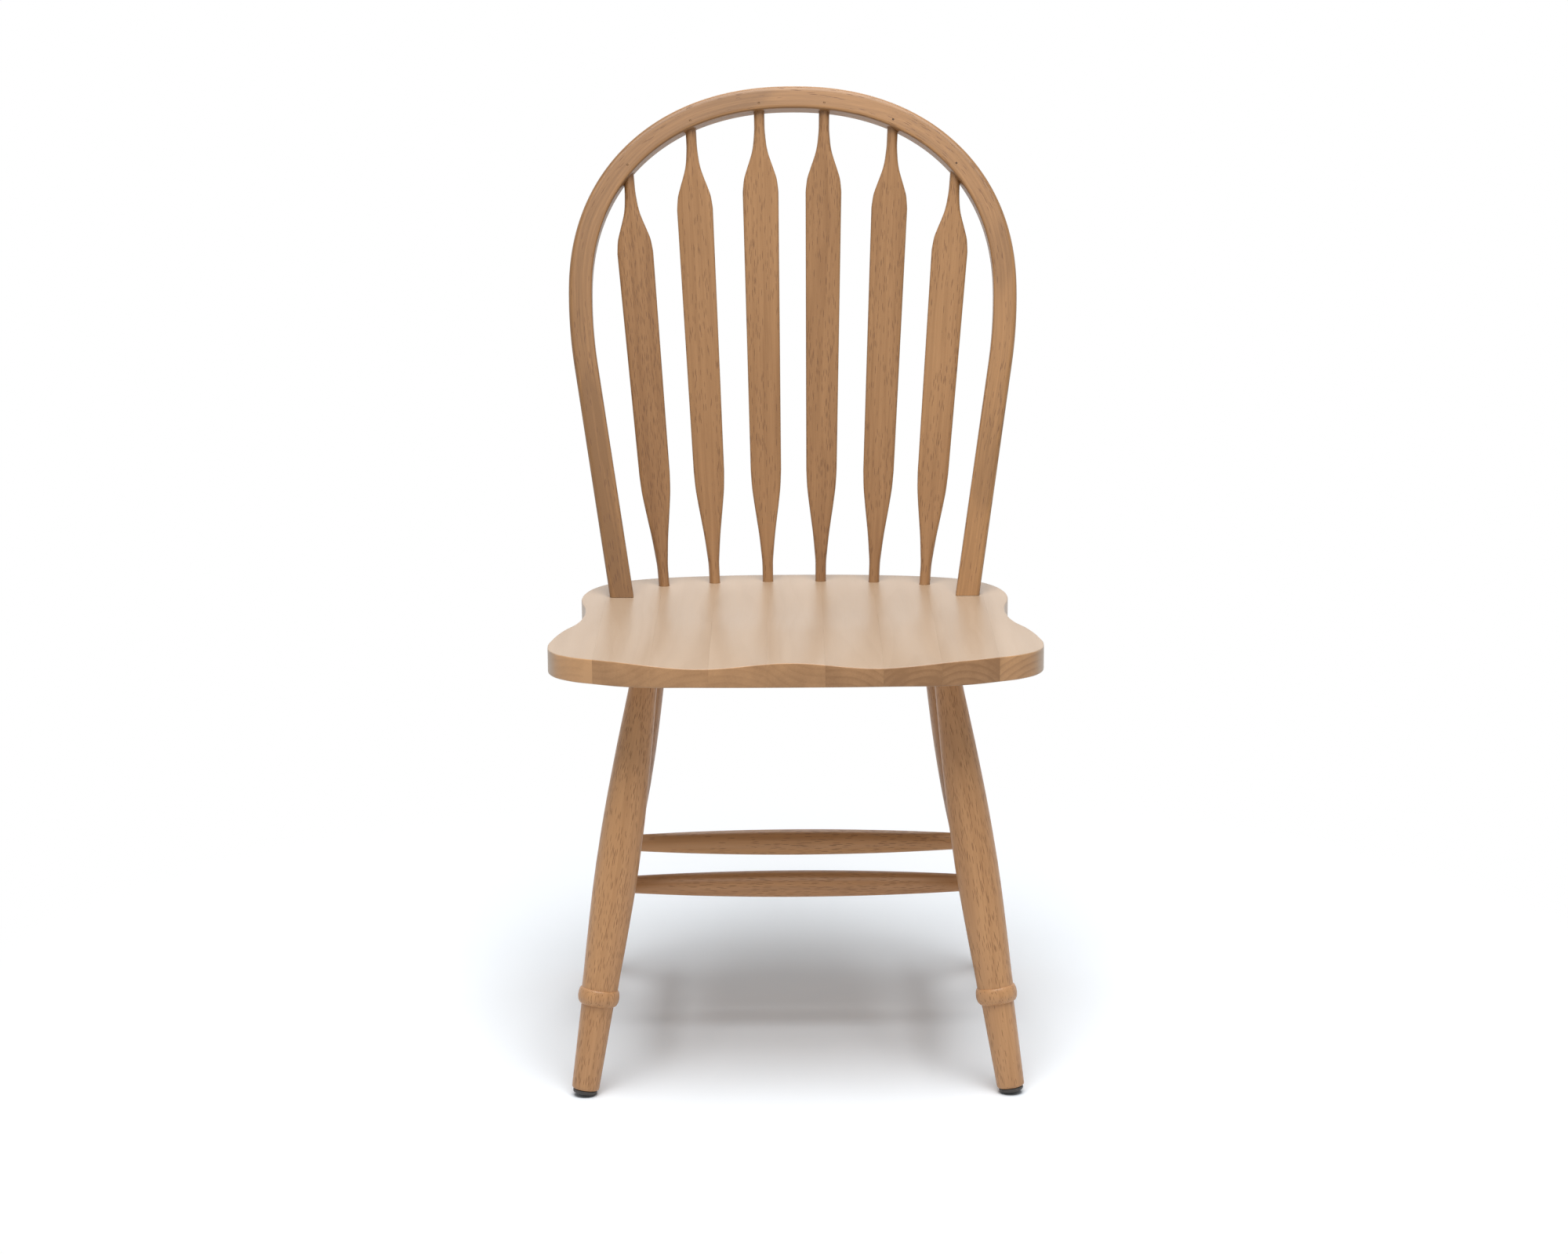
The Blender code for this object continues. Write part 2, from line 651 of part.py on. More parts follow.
def make_stretchers():
    rear_cross_y = SEAT_DEPTH - REAR_CROSS_FROM_REAR
    crosses = {"front_cross_stretcher": FRONT_CROSS_Y, "rear_cross_stretcher": rear_cross_y}
    sockets = {
        side: make_collection(f"{word}_side_stretcher_cutters", cutters) for side, word in SIDES
    }
    for name, back in crosses.items():
        ends = []
        for side, word in SIDES:
            front, rear = side_stretcher_ends(side)
            axis_point = front + (rear - front) * ((back - front.y) / (rear.y - front.y))
            from_middle = (axis_point - (front + rear) / 2).length
            radius = swell_radius(from_middle / ((rear - front).length / 2 - STRETCHER_SHOULDER))
            ends.append((axis_point, radius))
            bar_cutter(
                f"{name}_{word}_socket",
                axis_point + ACROSS * side * (CROSS_TENON_LENGTH - radius + FIT_GAP),
                axis_point - ACROSS * side * (radius + CUT_OVERRUN),
                CROSS_TENON_RADIUS + FIT_GAP,
                SOCKET_STEPS,
                sockets[side],
            )
        (left, left_radius), (right, right_radius) = ends
        length = (right - left).length - left_radius - right_radius
        profile = stretcher_profile(length, CROSS_TENON_RADIUS, CROSS_TENON_LENGTH)
        frame = aim((left + right) / 2, right, BACK)
        turned(name, profile, STRETCHER_STEPS, chair, frame, wood)
    for side, word in SIDES:
        front, rear = side_stretcher_ends(side)
        profile = stretcher_profile((rear - front).length, SIDE_TENON_RADIUS, SIDE_TENON_LENGTH)
        frame = aim((front + rear) / 2, rear)
        stretcher = turned(f"{word}_side_stretcher", profile, STRETCHER_STEPS, chair, frame, wood)
        boolean(stretcher, "sockets", "DIFFERENCE", sockets[side])


def make_spindles():
    number = {(2, -1): 1, (1, -1): 2, (0, -1): 3, (0, 1): 4, (1, 1): 5, (2, 1): 6}
    for (index, side), count in number.items():
        foot, head = spindle_ends(index, side)
        up = (head - foot).normalized()
        spindle = make_spindle(f"spindle_{count}", foot, head)
        bar_cutter(
            f"spindle_{count}_seat_socket",
            foot - up * (SPINDLE_TENON_LENGTH + FIT_GAP),
            foot + up * CUT_OVERRUN,
            SPINDLE_NECK_RADIUS + FIT_GAP,
            SPINDLE_POINTS,
            seat_cutters,
        )
        bar_cutter(
            f"spindle_{count}_hoop_socket",
            head - up * (HOOP_WIDTH + CUT_OVERRUN),
            head,
            SPINDLE_NECK_RADIUS + FIT_GAP,
            SPINDLE_POINTS,
            hoop_cutters,
        )
        make_brad(count, head - up * BRAD_BELOW_CENTRE, spindle)


def make_brad(count, on_axis, spindle):
    """A brad from the hoop's front face through a spindle's tenon."""
    forward = (HOOP_FRAME.to_3x3() @ UP).normalized()
    middle = on_axis - forward * (on_axis - hoop_point(0, 0)).dot(forward)
    face = middle + forward * (HOOP_DEPTH / 2 - FIT_GAP)
    point = face - forward * BRAD_LENGTH
    name = f"spindle_brad_{count}"
    half = BRAD_LENGTH / 2
    profile = [(0, half), (BRAD_RADIUS, half), (BRAD_RADIUS, BRAD_RADIUS - half), (0, -half)]
    turned(name, profile, PIN_STEPS, chair, aim((face + point) / 2, face), steel)
    own_cutters = make_collection(f"{name}_cutters", cutters)
    hole = bar_cutter(
        f"{name}_hole",
        point - forward * FIT_GAP,
        face + forward * CUT_OVERRUN,
        BRAD_RADIUS + FIT_GAP,
        PIN_STEPS,
        own_cutters,
    )
    hoop_cutters.objects.link(hole)
    boolean(spindle, "brad hole", "DIFFERENCE", hole)


def make_hoop_screws():
    """Screws up through the seat into the hoop's tenons, with their heads sunk in the underside."""
    for side, word in SIDES:
        end, up = hoop_end(side)
        name = f"hoop_screw_{word}"
        underside = end - up * (SEAT_THICKNESS / up.z)
        floor = underside + up * SCREW_HEAD_SUNK
        head_top = floor - up * FIT_GAP
        profile = [(0, SCREW_LENGTH), (SCREW_RADIUS, SCREW_LENGTH - SCREW_POINT), (SCREW_RADIUS, 0)]
        profile += [(SCREW_HEAD_RADIUS, 0), (SCREW_HEAD_RADIUS, -SCREW_HEAD_THICKNESS)]
        profile += [(0, -SCREW_HEAD_THICKNESS)]
        screw = turned(name, profile, SCREW_STEPS, chair, aim(head_top, end), steel)
        head_bottom = head_top - up * SCREW_HEAD_THICKNESS
        recess = bar_cutter(
            f"{name}_recess",
            head_bottom - up * CUT_OVERRUN,
            head_bottom + up * SCREW_SOCKET_DEPTH,
            SCREW_SOCKET_RADIUS,
            SCREW_SOCKET_SIDES,
            cutters,
        )
        boolean(screw, "hex recess", "DIFFERENCE", recess)
        hole = bar_cutter(
            f"{name}_hole",
            floor - up * CUT_OVERRUN,
            head_top + up * (SCREW_LENGTH + FIT_GAP),
            SCREW_RADIUS + FIT_GAP,
            SCREW_STEPS,
            hoop_cutters,
        )
        seat_cutters.objects.link(hole)
        bar_cutter(
            f"{name}_counterbore",
            underside - up * CUT_OVERRUN,
            floor,
            SCREW_HEAD_RADIUS + FIT_GAP,
            SCREW_STEPS,
            seat_cutters,
        )
        bar_cutter(
            f"{name}_tenon_socket",
            end - up * (HOOP_TENON_LENGTH + FIT_GAP),
            end + up * CUT_OVERRUN,
            HOOP_TENON_RADIUS + FIT_GAP,
            SOCKET_STEPS,
            seat_cutters,
        )


def make_seat_form():
    """The whole seat as glued up, saddled and bored, from which each board is taken."""
    half = [(across * SEAT_WIDTH / 2, back * SEAT_DEPTH) for across, back in SEAT_OUTLINE_SHARES]
    outline = half + [(-across, back) for across, back in half[-2:0:-1]]
    curve = bpy.data.curves.new("seat_form", "CURVE")
    curve.dimensions = "2D"
    curve.fill_mode = "BOTH"
    curve.resolution_u = 2
    curve.extrude = SEAT_THICKNESS / 2 - SEAT_EDGE_ROUND
    curve.bevel_depth = SEAT_EDGE_ROUND
    curve.offset = -SEAT_EDGE_ROUND
    curve.bevel_resolution = 1
    spline = curve.splines.new("BEZIER")
    spline.bezier_points.add(len(outline) - 1)
    for point, (x, y) in zip(spline.bezier_points, outline):
        point.co = (x, y, 0)
        point.handle_left_type = "AUTO"
        point.handle_right_type = "AUTO"
    spline.use_cyclic_u = True
    guide = bpy.data.objects.new("seat_guide", curve)
    chair.objects.link(guide)
    mesh = curve_to_mesh(guide, "seat_form")
    frame = Matrix.Translation((0, 0, SEAT_HEIGHT - SEAT_THICKNESS / 2))
    form = hide_cutter(place("seat_form", mesh, cutters, frame))
    scoop_size = Vector((SCOOP_HALF_WIDTH, SCOOP_HALF_LENGTH, SCOOP_DEPTH))
    for side, word in SIDES:
        make_hollow(f"scoop_{word}", SADDLE_X + side * SCOOP_X, SCOOP_Y, scoop_size)
    dish_size = Vector((DISH_HALF_WIDTH, DISH_HALF_LENGTH, DISH_DEPTH))
    make_hollow("dish", 0, SEAT_DEPTH - DISH_FROM_REAR, dish_size)
    boolean(form, "saddle and sockets", "DIFFERENCE", seat_cutters)
    return form


def make_hollow(name, x, y, size):
    """An ellipsoid cutter, pole down; size is the hollow's half width, half length and depth."""
    centre_height = HOLLOW_BALL_DEPTH - size.z
    spread = math.sqrt(1 - (centre_height / HOLLOW_BALL_DEPTH) ** 2)
    bm = bmesh.new()
    bmesh.ops.create_uvsphere(bm, u_segments=HOLLOW_STEPS, v_segments=HOLLOW_RINGS, radius=1)
    radii = Vector((size.x / spread, size.y / spread, HOLLOW_BALL_DEPTH))
    bmesh.ops.scale(bm, vec=radii, verts=bm.verts[:])
    frame = Matrix.Translation((x, y, SEAT_HEIGHT + centre_height))
    return hide_cutter(place(name, mesh_from(name, bm, smooth=False), seat_cutters, frame))


def make_seat_boards(form):
    """Boards of one width across the middle; the two outer ones run out to the seat's edge."""
    for count in range(BOARD_COUNT):
        left = (count - BOARD_COUNT / 2) * BOARD_WIDTH + FIT_GAP / 2
        right = left + BOARD_WIDTH - FIT_GAP
        if count == 0:
            left = -SEAT_WIDTH / 2 - CUT_OVERRUN
        if count == BOARD_COUNT - 1:
            right = SEAT_WIDTH / 2 + CUT_OVERRUN
        bm = bmesh.new()
        bmesh.ops.create_cube(bm, size=1)
        depth = SEAT_DEPTH + 2 * CUT_OVERRUN
        thickness = SEAT_THICKNESS + 2 * CUT_OVERRUN
        bmesh.ops.scale(bm, vec=(right - left, depth, thickness), verts=bm.verts[:])
        middle = Vector(((left + right) / 2, SEAT_DEPTH / 2, SEAT_HEIGHT - SEAT_THICKNESS / 2))
        frame = Matrix.Translation(middle)
        name = f"seat_board_{count + 1}"
        board = place(name, mesh_from(name, bm, smooth=False), chair, frame, seat_wood)
        boolean(board, "shape of the seat", "INTERSECT", form)


clear_scene()
SIDES = ((-1, "left"), (1, "right"))
chair = make_collection("arrow_back_chair", bpy.context.scene.collection)
cutters = make_collection("cutters", bpy.context.scene.collection)
hoop_cutters = make_collection("hoop_cutters", cutters)
seat_cutters = make_collection("seat_cutters", cutters)
wood = make_material("stained_wood", WOOD_COLOUR, WOOD_ROUGHNESS)
seat_wood = make_material("seat_wood", SEAT_COLOUR, WOOD_ROUGHNESS)
plastic = make_material("glide_plastic", GLIDE_COLOUR, GLIDE_ROUGHNESS)
steel = make_material("steel", STEEL_COLOUR, STEEL_ROUGHNESS, metallic=1)

chair_frame = bpy.data.objects.new("chair_frame", None)
chair.objects.link(chair_frame)
hoop_top = HOOP_WIDEST_UP + HOOP_CROWN_RISE + HOOP_WIDTH / 2
overall_depth = hoop_point(0, hoop_top, -HOOP_DEPTH / 2).y
chair_frame.location = (0, -overall_depth / 2, 0)
bpy.context.view_layer.update()

floor_cutter = box_cutter(
    "floor",
    Vector((-SEAT_WIDTH, -SEAT_DEPTH, -2 * CUT_OVERRUN)),
    Vector((SEAT_WIDTH, 2 * SEAT_DEPTH, 0)),
    cutters,
)
for pair in ("front", "rear"):
    for side, word in SIDES:
        make_leg(pair, side, word)
make_stretchers()
make_spindles()
make_hoop_screws()
make_hoop()
make_seat_boards(make_seat_form())
bpy.context.view_layer.update()
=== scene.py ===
"""The looks of an arrow back chair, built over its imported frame.

Metres, +Z up. The chair stands on the floor at z = 0 and faces -Y. Left is -X, as seen from the front.
A place that is called back is measured from the seat's front edge, towards the chair's back.
"""

import logging
import math
from collections.abc import Callable, Sequence
from dataclasses import dataclass
from enum import Enum

import bmesh
import bpy
from mathutils import Matrix, Vector
from mathutils.kdtree import KDTree


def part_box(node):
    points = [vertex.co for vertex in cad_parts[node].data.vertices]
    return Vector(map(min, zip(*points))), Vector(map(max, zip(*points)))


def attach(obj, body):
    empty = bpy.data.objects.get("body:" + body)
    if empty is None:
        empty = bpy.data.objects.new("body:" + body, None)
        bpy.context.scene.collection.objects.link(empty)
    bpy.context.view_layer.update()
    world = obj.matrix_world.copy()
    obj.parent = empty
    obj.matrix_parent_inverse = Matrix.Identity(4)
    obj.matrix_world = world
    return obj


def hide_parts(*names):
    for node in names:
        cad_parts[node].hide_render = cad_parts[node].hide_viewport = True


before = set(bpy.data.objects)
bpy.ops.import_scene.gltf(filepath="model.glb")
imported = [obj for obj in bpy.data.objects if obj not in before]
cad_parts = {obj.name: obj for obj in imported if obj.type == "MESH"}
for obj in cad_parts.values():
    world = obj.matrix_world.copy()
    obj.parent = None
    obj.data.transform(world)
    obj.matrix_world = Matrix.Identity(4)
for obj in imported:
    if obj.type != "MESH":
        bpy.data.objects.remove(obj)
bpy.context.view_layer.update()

log = logging.getLogger("arrow_back_chair")

BODY = "root"
GRAIN_ATTRIBUTE = "grain"
FIT_GAP = 0.0003  # between a tenon and its socket
OVERRUN = 0.012  # how far a cutter runs out past the face that it opens
WELD = 0.000001  # points nearer than this are one
PEG_STEPS = 48  # sides of a cutter
SHARP = 38.0  # degrees past which an edge stays sharp
FLAT_SHARE = 0.22  # of the points in a quarter turn, on each of its two flats

UP = Vector((0, 0, 1))
ACROSS = Vector((1, 0, 0))
BACK = Vector((0, 1, 0))

Profile = list[tuple[float, float]]
Table = tuple[tuple[float, float], ...]
Colour = tuple[float, float, float]
Point = tuple[float, float, float]
Cells = tuple[float, float, float]
Limits = tuple[float, float]

WHITE = (1.0, 1.0, 1.0)


class Side(Enum):
    """A side of the chair, as seen from its front."""

    LEFT = -1
    RIGHT = 1

    @property
    def word(self) -> str:
        """The side's name in the frame's node names."""
        return self.name.lower()


class LegPair(Enum):
    """The two legs at the front or at the rear."""

    FRONT = "front"
    REAR = "rear"


class Shaping(Enum):
    """What tools do to a piece."""

    CUT = "DIFFERENCE"
    JOIN = "UNION"


def smooth_between(table: Table, share: float) -> float:
    """Reads a table as a smooth curve that never overshoots its points.

    Args:
        table: (share, value) points in rising order.
        share: Where to read it.

    Returns:
        The value there.
    """
    steps = [
        (end[1] - start[1]) / (end[0] - start[0]) for start, end in zip(table, table[1:])
    ]
    slopes = [steps[0]]
    for before, after in zip(steps, steps[1:]):
        slopes.append(2 * before * after / (before + after) if before * after > 0 else 0.0)
    slopes.append(steps[-1])
    share = min(max(share, table[0][0]), table[-1][0])
    place = max(index for index, point in enumerate(table[:-1]) if point[0] <= share)
    start, end = table[place], table[place + 1]
    width = end[0] - start[0]
    near = (share - start[0]) / width
    far = 1 - near
    ends = start[1] * (1 + 2 * near) * far**2 + end[1] * (1 + 2 * far) * near**2
    return ends + width * near * far * (slopes[place] * far - slopes[place + 1] * near)


def quarter_turn(steps: int) -> list[tuple[float, float]]:
    """The (sine, cosine) of even steps from 0 to a quarter turn."""
    turns = [math.pi / 2 * step / steps for step in range(steps + 1)]
    return [(math.sin(turn), math.cos(turn)) for turn in turns]


def aim(origin: Vector, towards: Vector, across: Vector = ACROSS) -> Matrix:
    """A frame at a point whose +Z points at another.

    Args:
        origin: The frame's origin.
        towards: A point on its +Z.
        across: A direction that its +X lies near.

    Returns:
        The frame as a matrix.
    """
    along = (towards - origin).normalized()
    back = along.cross(across).normalized()
    turn = Matrix((back.cross(along), back, along)).transposed().to_4x4()
    return Matrix.Translation(origin) @ turn


def piece_from(name: str, bm: bmesh.types.BMesh, sharp: float = SHARP) -> bpy.types.Object:
    """Makes a finished bmesh a piece of the scene, smooth but for its sharp edges.

    Args:
        name: The piece's name.
        bm: Its mesh, in the frame's own coordinates. It is used up.
        sharp: The angle in degrees past which an edge stays sharp.

    Returns:
        The piece's object, at the origin.
    """
    bmesh.ops.recalc_face_normals(bm, faces=bm.faces[:])
    if bm.calc_volume(signed=True) < 0:
        bmesh.ops.reverse_faces(bm, faces=bm.faces[:])
    mesh = bpy.data.meshes.new(name)
    bm.to_mesh(mesh)
    bm.free()
    piece = bpy.data.objects.new(name, mesh)
    bpy.context.scene.collection.objects.link(piece)
    soften(piece, sharp)
    return piece


def soften(piece: bpy.types.Object, sharp: float) -> None:
    """Shades a piece smooth, but for edges past an angle in degrees."""
    piece.data.shade_smooth()
    piece.data.set_sharp_from_angle(angle=math.radians(sharp))


def peg(start: Vector, end: Vector, radius: float, steps: int = PEG_STEPS) -> bpy.types.Object:
    """A round cutter from one point to another.

    Args:
        start: The middle of one end.
        end: The middle of the other end.
        radius: Its radius.
        steps: How many sides it has.

    Returns:
        The cutter, which shape_with takes away again.
    """
    bm = bmesh.new()
    bmesh.ops.create_cone(
        bm,
        cap_ends=True,
        segments=steps,
        radius1=radius,
        radius2=radius,
        depth=(end - start).length,
    )
    along = end - start
    bm.transform(aim((start + end) / 2, end, BACK if abs(along.x) > abs(along.y) else ACROSS))
    return piece_from("peg", bm)


def evaluated_mesh(source: bpy.types.Object) -> bpy.types.Mesh:
    """A new mesh of an object in the scene, as its modifiers or its curve make it."""
    bpy.context.view_layer.update()
    graph = bpy.context.evaluated_depsgraph_get()
    return bpy.data.meshes.new_from_object(source.evaluated_get(graph))


def shape_with(
    piece: bpy.types.Object,
    tools: Sequence[bpy.types.Object],
    shaping: Shaping = Shaping.CUT,
    sharp: float = SHARP,
) -> None:
    """Cuts tools out of a piece, or joins them to it, and removes them.

    Args:
        piece: The piece, whose mesh is replaced.
        tools: Closed cutters that may overlap each other.
        shaping: Whether they are cut out or joined.
        sharp: The angle in degrees past which an edge stays sharp.
    """
    plain = bmesh.new()
    plain.from_mesh(piece.data)
    bmesh.ops.triangulate(plain, faces=plain.faces[:])
    plain.to_mesh(piece.data)
    plain.free()
    shelf = bpy.data.collections.new("tools")
    for tool in tools:
        bpy.context.scene.collection.objects.unlink(tool)
        shelf.objects.link(tool)
    modifier = piece.modifiers.new("shape", "BOOLEAN")
    modifier.operation = shaping.value
    modifier.solver = "MANIFOLD"
    modifier.operand_type = "COLLECTION"
    modifier.collection = shelf
    bpy.context.scene.collection.children.link(shelf)
    shaped = evaluated_mesh(piece)
    piece.modifiers.clear()
    blank = piece.data
    piece.data = shaped
    bpy.data.meshes.remove(blank)
    shaped.name = piece.name
    for tool in tools:
        bpy.data.meshes.remove(tool.data)
    bpy.data.collections.remove(shelf)
    soften(piece, sharp)


def saw(bm: bmesh.types.BMesh, place: Vector, away: Vector, clear: bool = True) -> None:
    """Cuts a mesh along a plane.

    Args:
        bm: The mesh.
        place: A point of the plane.
        away: The plane's normal.
        clear: Whether what lies beyond the plane goes, and the cut is closed.
    """
    bmesh.ops.bisect_plane(
        bm,
        geom=bm.verts[:] + bm.edges[:] + bm.faces[:],
        dist=WELD,
        plane_co=place,
        plane_no=away,
        clear_outer=clear,
    )
    if clear:
        close_holes(bm)


def close_holes(bm: bmesh.types.BMesh) -> None:
    """Closes each open edge of a mesh with a flat face."""
    bmesh.ops.holes_fill(bm, edges=[edge for edge in bm.edges if edge.is_boundary], sides=0)


def twin(piece: bpy.types.Object) -> bpy.types.Object:
    """A copy of a piece, with a mesh of its own."""
    copy = piece.copy()
    copy.data = piece.data.copy()
    bpy.context.scene.collection.objects.link(copy)
    return copy


def reaches(piece: bpy.types.Object, left: float, right: float) -> bool:
    """Whether a piece comes between two places across the chair."""
    across = [vert.co.x for vert in piece.data.vertices]
    return max(across) > left and min(across) < right


def turned(profile: Profile, steps: int, place: Matrix) -> bmesh.types.BMesh:
    """A turned piece, spun about Z.

    Args:
        profile: (radius, height) points down one side; the first and last lie on the axis.
        steps: How many sides it has.
        place: Where the turning axis lies.

    Returns:
        The closed mesh.
    """
    bm = bmesh.new()
    chain = [bm.verts.new((radius, 0, height)) for radius, height in profile]
    edges = [bm.edges.new(ends) for ends in zip(chain, chain[1:])]
    bmesh.ops.spin(
        bm,
        geom=chain + edges,
        cent=(0, 0, 0),
        axis=UP,
        dvec=(0, 0, 0),
        angle=2 * math.pi,
        steps=steps,
        use_merge=True,
        use_duplicate=False,
    )
    bmesh.ops.remove_doubles(bm, verts=bm.verts[:], dist=WELD)
    bm.transform(place)
    return bm


def rod(sides: int, rings: int, bend: Callable[[float, float], Vector]) -> bmesh.types.BMesh:
    """A closed rod of many rings whose points a function puts in place.

    Args:
        sides: Points in a ring.
        rings: Rings from end to end.
        bend: Gives a point's place from its turn round the rod and its share of the way along.

    Returns:
        The rod's mesh.
    """
    bm = bmesh.new()
    bmesh.ops.create_cone(bm, cap_ends=True, segments=sides, radius1=1, radius2=1, depth=1)
    lengthwise = [edge for edge in bm.edges if edge.verts[0].co.z * edge.verts[1].co.z < 0]
    bmesh.ops.subdivide_edges(bm, edges=lengthwise, cuts=rings - 2)
    for vert in bm.verts:
        vert.co = bend(math.atan2(vert.co.y, vert.co.x), vert.co.z + 1 / 2)
    return bm


def rounded_oblong(turn: float, half_width: float, half_depth: float, round_radius: float) -> Vector:
    """A point of a rectangle with round corners.

    Args:
        turn: The angle round the section, in radians.
        half_width: Half its width, along X.
        half_depth: Half its depth, along Y.
        round_radius: The radius of its corners.

    Returns:
        The point in the section's plane.
    """
    quarter, share = divmod((turn % (2 * math.pi)) / (math.pi / 2), 1)
    if quarter % 2:
        share = 1 - share
    flat_x, flat_y = half_width - round_radius, half_depth - round_radius
    if share < FLAT_SHARE:
        x, y = half_width, flat_y * share / FLAT_SHARE
    elif share > 1 - FLAT_SHARE:
        x, y = flat_x * (1 - share) / FLAT_SHARE, half_depth
    else:
        angle = (share - FLAT_SHARE) / (1 - 2 * FLAT_SHARE) * math.pi / 2
        x = flat_x + round_radius * math.cos(angle)
        y = flat_y + round_radius * math.sin(angle)
    return Vector((x if quarter in (0, 3) else -x, y if quarter in (0, 1) else -y, 0))


class GrainLine:
    """Grain that runs straight along the +Z of a frame."""

    def __init__(self, place: Matrix) -> None:
        """Keeps the way from the frame's coordinates to the piece's own."""
        self.inward = place.inverted()

    def local(self, point: Vector) -> Vector:
        """The point as (across, deep, along) in the piece."""
        return self.inward @ point


class BentGrain:
    """Grain that follows a bent piece."""

    def __init__(self, frames: Sequence[tuple[Matrix, float]]) -> None:
        """Keeps frames along the piece's middle line.

        Args:
            frames: Frames whose +Z runs along the piece, with each one's distance along it.
        """
        self.frames = [(place.inverted(), along) for place, along in frames]
        self.tree = KDTree(len(frames))
        for index, (place, _) in enumerate(frames):
            self.tree.insert(place.translation, index)
        self.tree.balance()

    def local(self, point: Vector) -> Vector:
        """The point as (across, deep, along) in the piece."""
        inward, along = self.frames[self.tree.find(point)[1]]
        return inward @ point + along * UP


def lay_grain(piece: bpy.types.Object, grain: GrainLine | BentGrain) -> None:
    """Writes where each point of a piece lies in its wood, for the wood's pattern to follow."""
    attribute = piece.data.attributes.new(GRAIN_ATTRIBUTE, "FLOAT_VECTOR", "POINT")
    places = [part for vert in piece.data.vertices for part in grain.local(vert.co)]
    attribute.data.foreach_set("vector", places)


class Nodes:
    """Short calls that add and join the nodes of a material or a world."""

    def __init__(self, owner: bpy.types.Material | bpy.types.World) -> None:
        """Starts an empty tree on a material or a world."""
        owner.use_nodes = True
        self.tree = owner.node_tree
        self.tree.nodes.clear()

    def join(self, value: object, socket: bpy.types.NodeSocket) -> None:
        """Links a socket, or sets a plain value, on an input."""
        if isinstance(value, bpy.types.NodeSocket):
            self.tree.links.new(value, socket)
        else:
            socket.default_value = value

    def add(self, kind: str, inputs: dict | None = None, **settings: object) -> bpy.types.Node:
        """Adds a node.

        Args:
            kind: Its type, without the ShaderNode that all of them start with.
            inputs: Values or sockets for its inputs, by name or number.
            settings: Its own settings.

        Returns:
            The node.
        """
        node = self.tree.nodes.new("ShaderNode" + kind)
        for key, value in settings.items():
            setattr(node, key, value)
        for key, value in (inputs or {}).items():
            self.join(value, node.inputs[key])
        return node

    def math(self, operation: str, *values: object) -> bpy.types.NodeSocket:
        """A Math node's result."""
        return self.add("Math", dict(enumerate(values)), operation=operation).outputs[0]

    def vector(self, operation: str, *values: object) -> bpy.types.NodeSocket:
        """A Vector Math node's vector."""
        return self.add("VectorMath", dict(enumerate(values)), operation=operation).outputs[0]

    def number(self, operation: str, *values: object) -> bpy.types.NodeSocket:
        """A Vector Math node's number."""
        return self.add("VectorMath", dict(enumerate(values)), operation=operation).outputs["Value"]

    def noise(
        self, place: object, cells: Cells, detail: float = 2.0, roughness: float = 0.5
    ) -> bpy.types.NodeSocket:
        """Noise from 0 to 1.

        Args:
            place: Where to read it.
            cells: How many cells it has to the metre, along each axis.
            detail: How many finer layers lie over the first.
            roughness: How strong each layer is beside the one before.

        Returns:
            The noise.
        """
        spread = self.vector("MULTIPLY", place, cells)
        inputs = {"Vector": spread, "Scale": 1.0, "Detail": detail, "Roughness": roughness}
        return self.add("TexNoise", inputs).outputs["Fac"]

    def mottle(self, cells: float, detail: float) -> bpy.types.NodeSocket:
        """Noise from 0 to 1 on the piece's own coordinates, with so many cells to the metre."""
        place = self.add("TexCoord").outputs["Object"]
        return self.add("TexNoise", {"Vector": place, "Scale": cells, "Detail": detail}).outputs["Fac"]

    def smooth(self, value: object, limits: Limits) -> bpy.types.NodeSocket:
        """A value eased from 0 at the first limit to 1 at the second."""
        inputs = {"Value": value, "From Min": limits[0], "From Max": limits[1]}
        return self.add("MapRange", inputs, interpolation_type="SMOOTHSTEP").outputs[0]

    def background_rays(self) -> bpy.types.NodeSocket:
        """1 for rays that show what lies behind the chair, 0 for rays that light it."""
        path = self.add("LightPath").outputs
        seen = self.math("MAXIMUM", path["Is Camera Ray"], path["Is Glossy Ray"])
        return self.math("MAXIMUM", seen, path["Is Transmission Ray"])

    def mix(self, share: object, first: object, second: object) -> bpy.types.NodeSocket:
        """A colour between two colours."""
        node = self.add("Mix", {0: share}, data_type="RGBA")
        self.join(first, node.inputs[6])
        self.join(second, node.inputs[7])
        return node.outputs[2]

    def surface(self, inputs: dict, height: bpy.types.NodeSocket, relief: float) -> None:
        """Ends a material in one shader.

        Args:
            inputs: The shader's inputs.
            height: The height of its bump, from 0 to 1.
            relief: How high 1 stands, in metres.
        """
        bump = self.add("Bump", {"Strength": 1.0, "Distance": relief, "Height": height})
        shader = self.add("BsdfPrincipled", {**inputs, "Normal": bump.outputs["Normal"]})
        self.add("OutputMaterial", {"Surface": shader.outputs[0]})


def opaque(colour: Colour) -> tuple[float, float, float, float]:
    """A colour with its alpha."""
    return (*colour, 1.0)


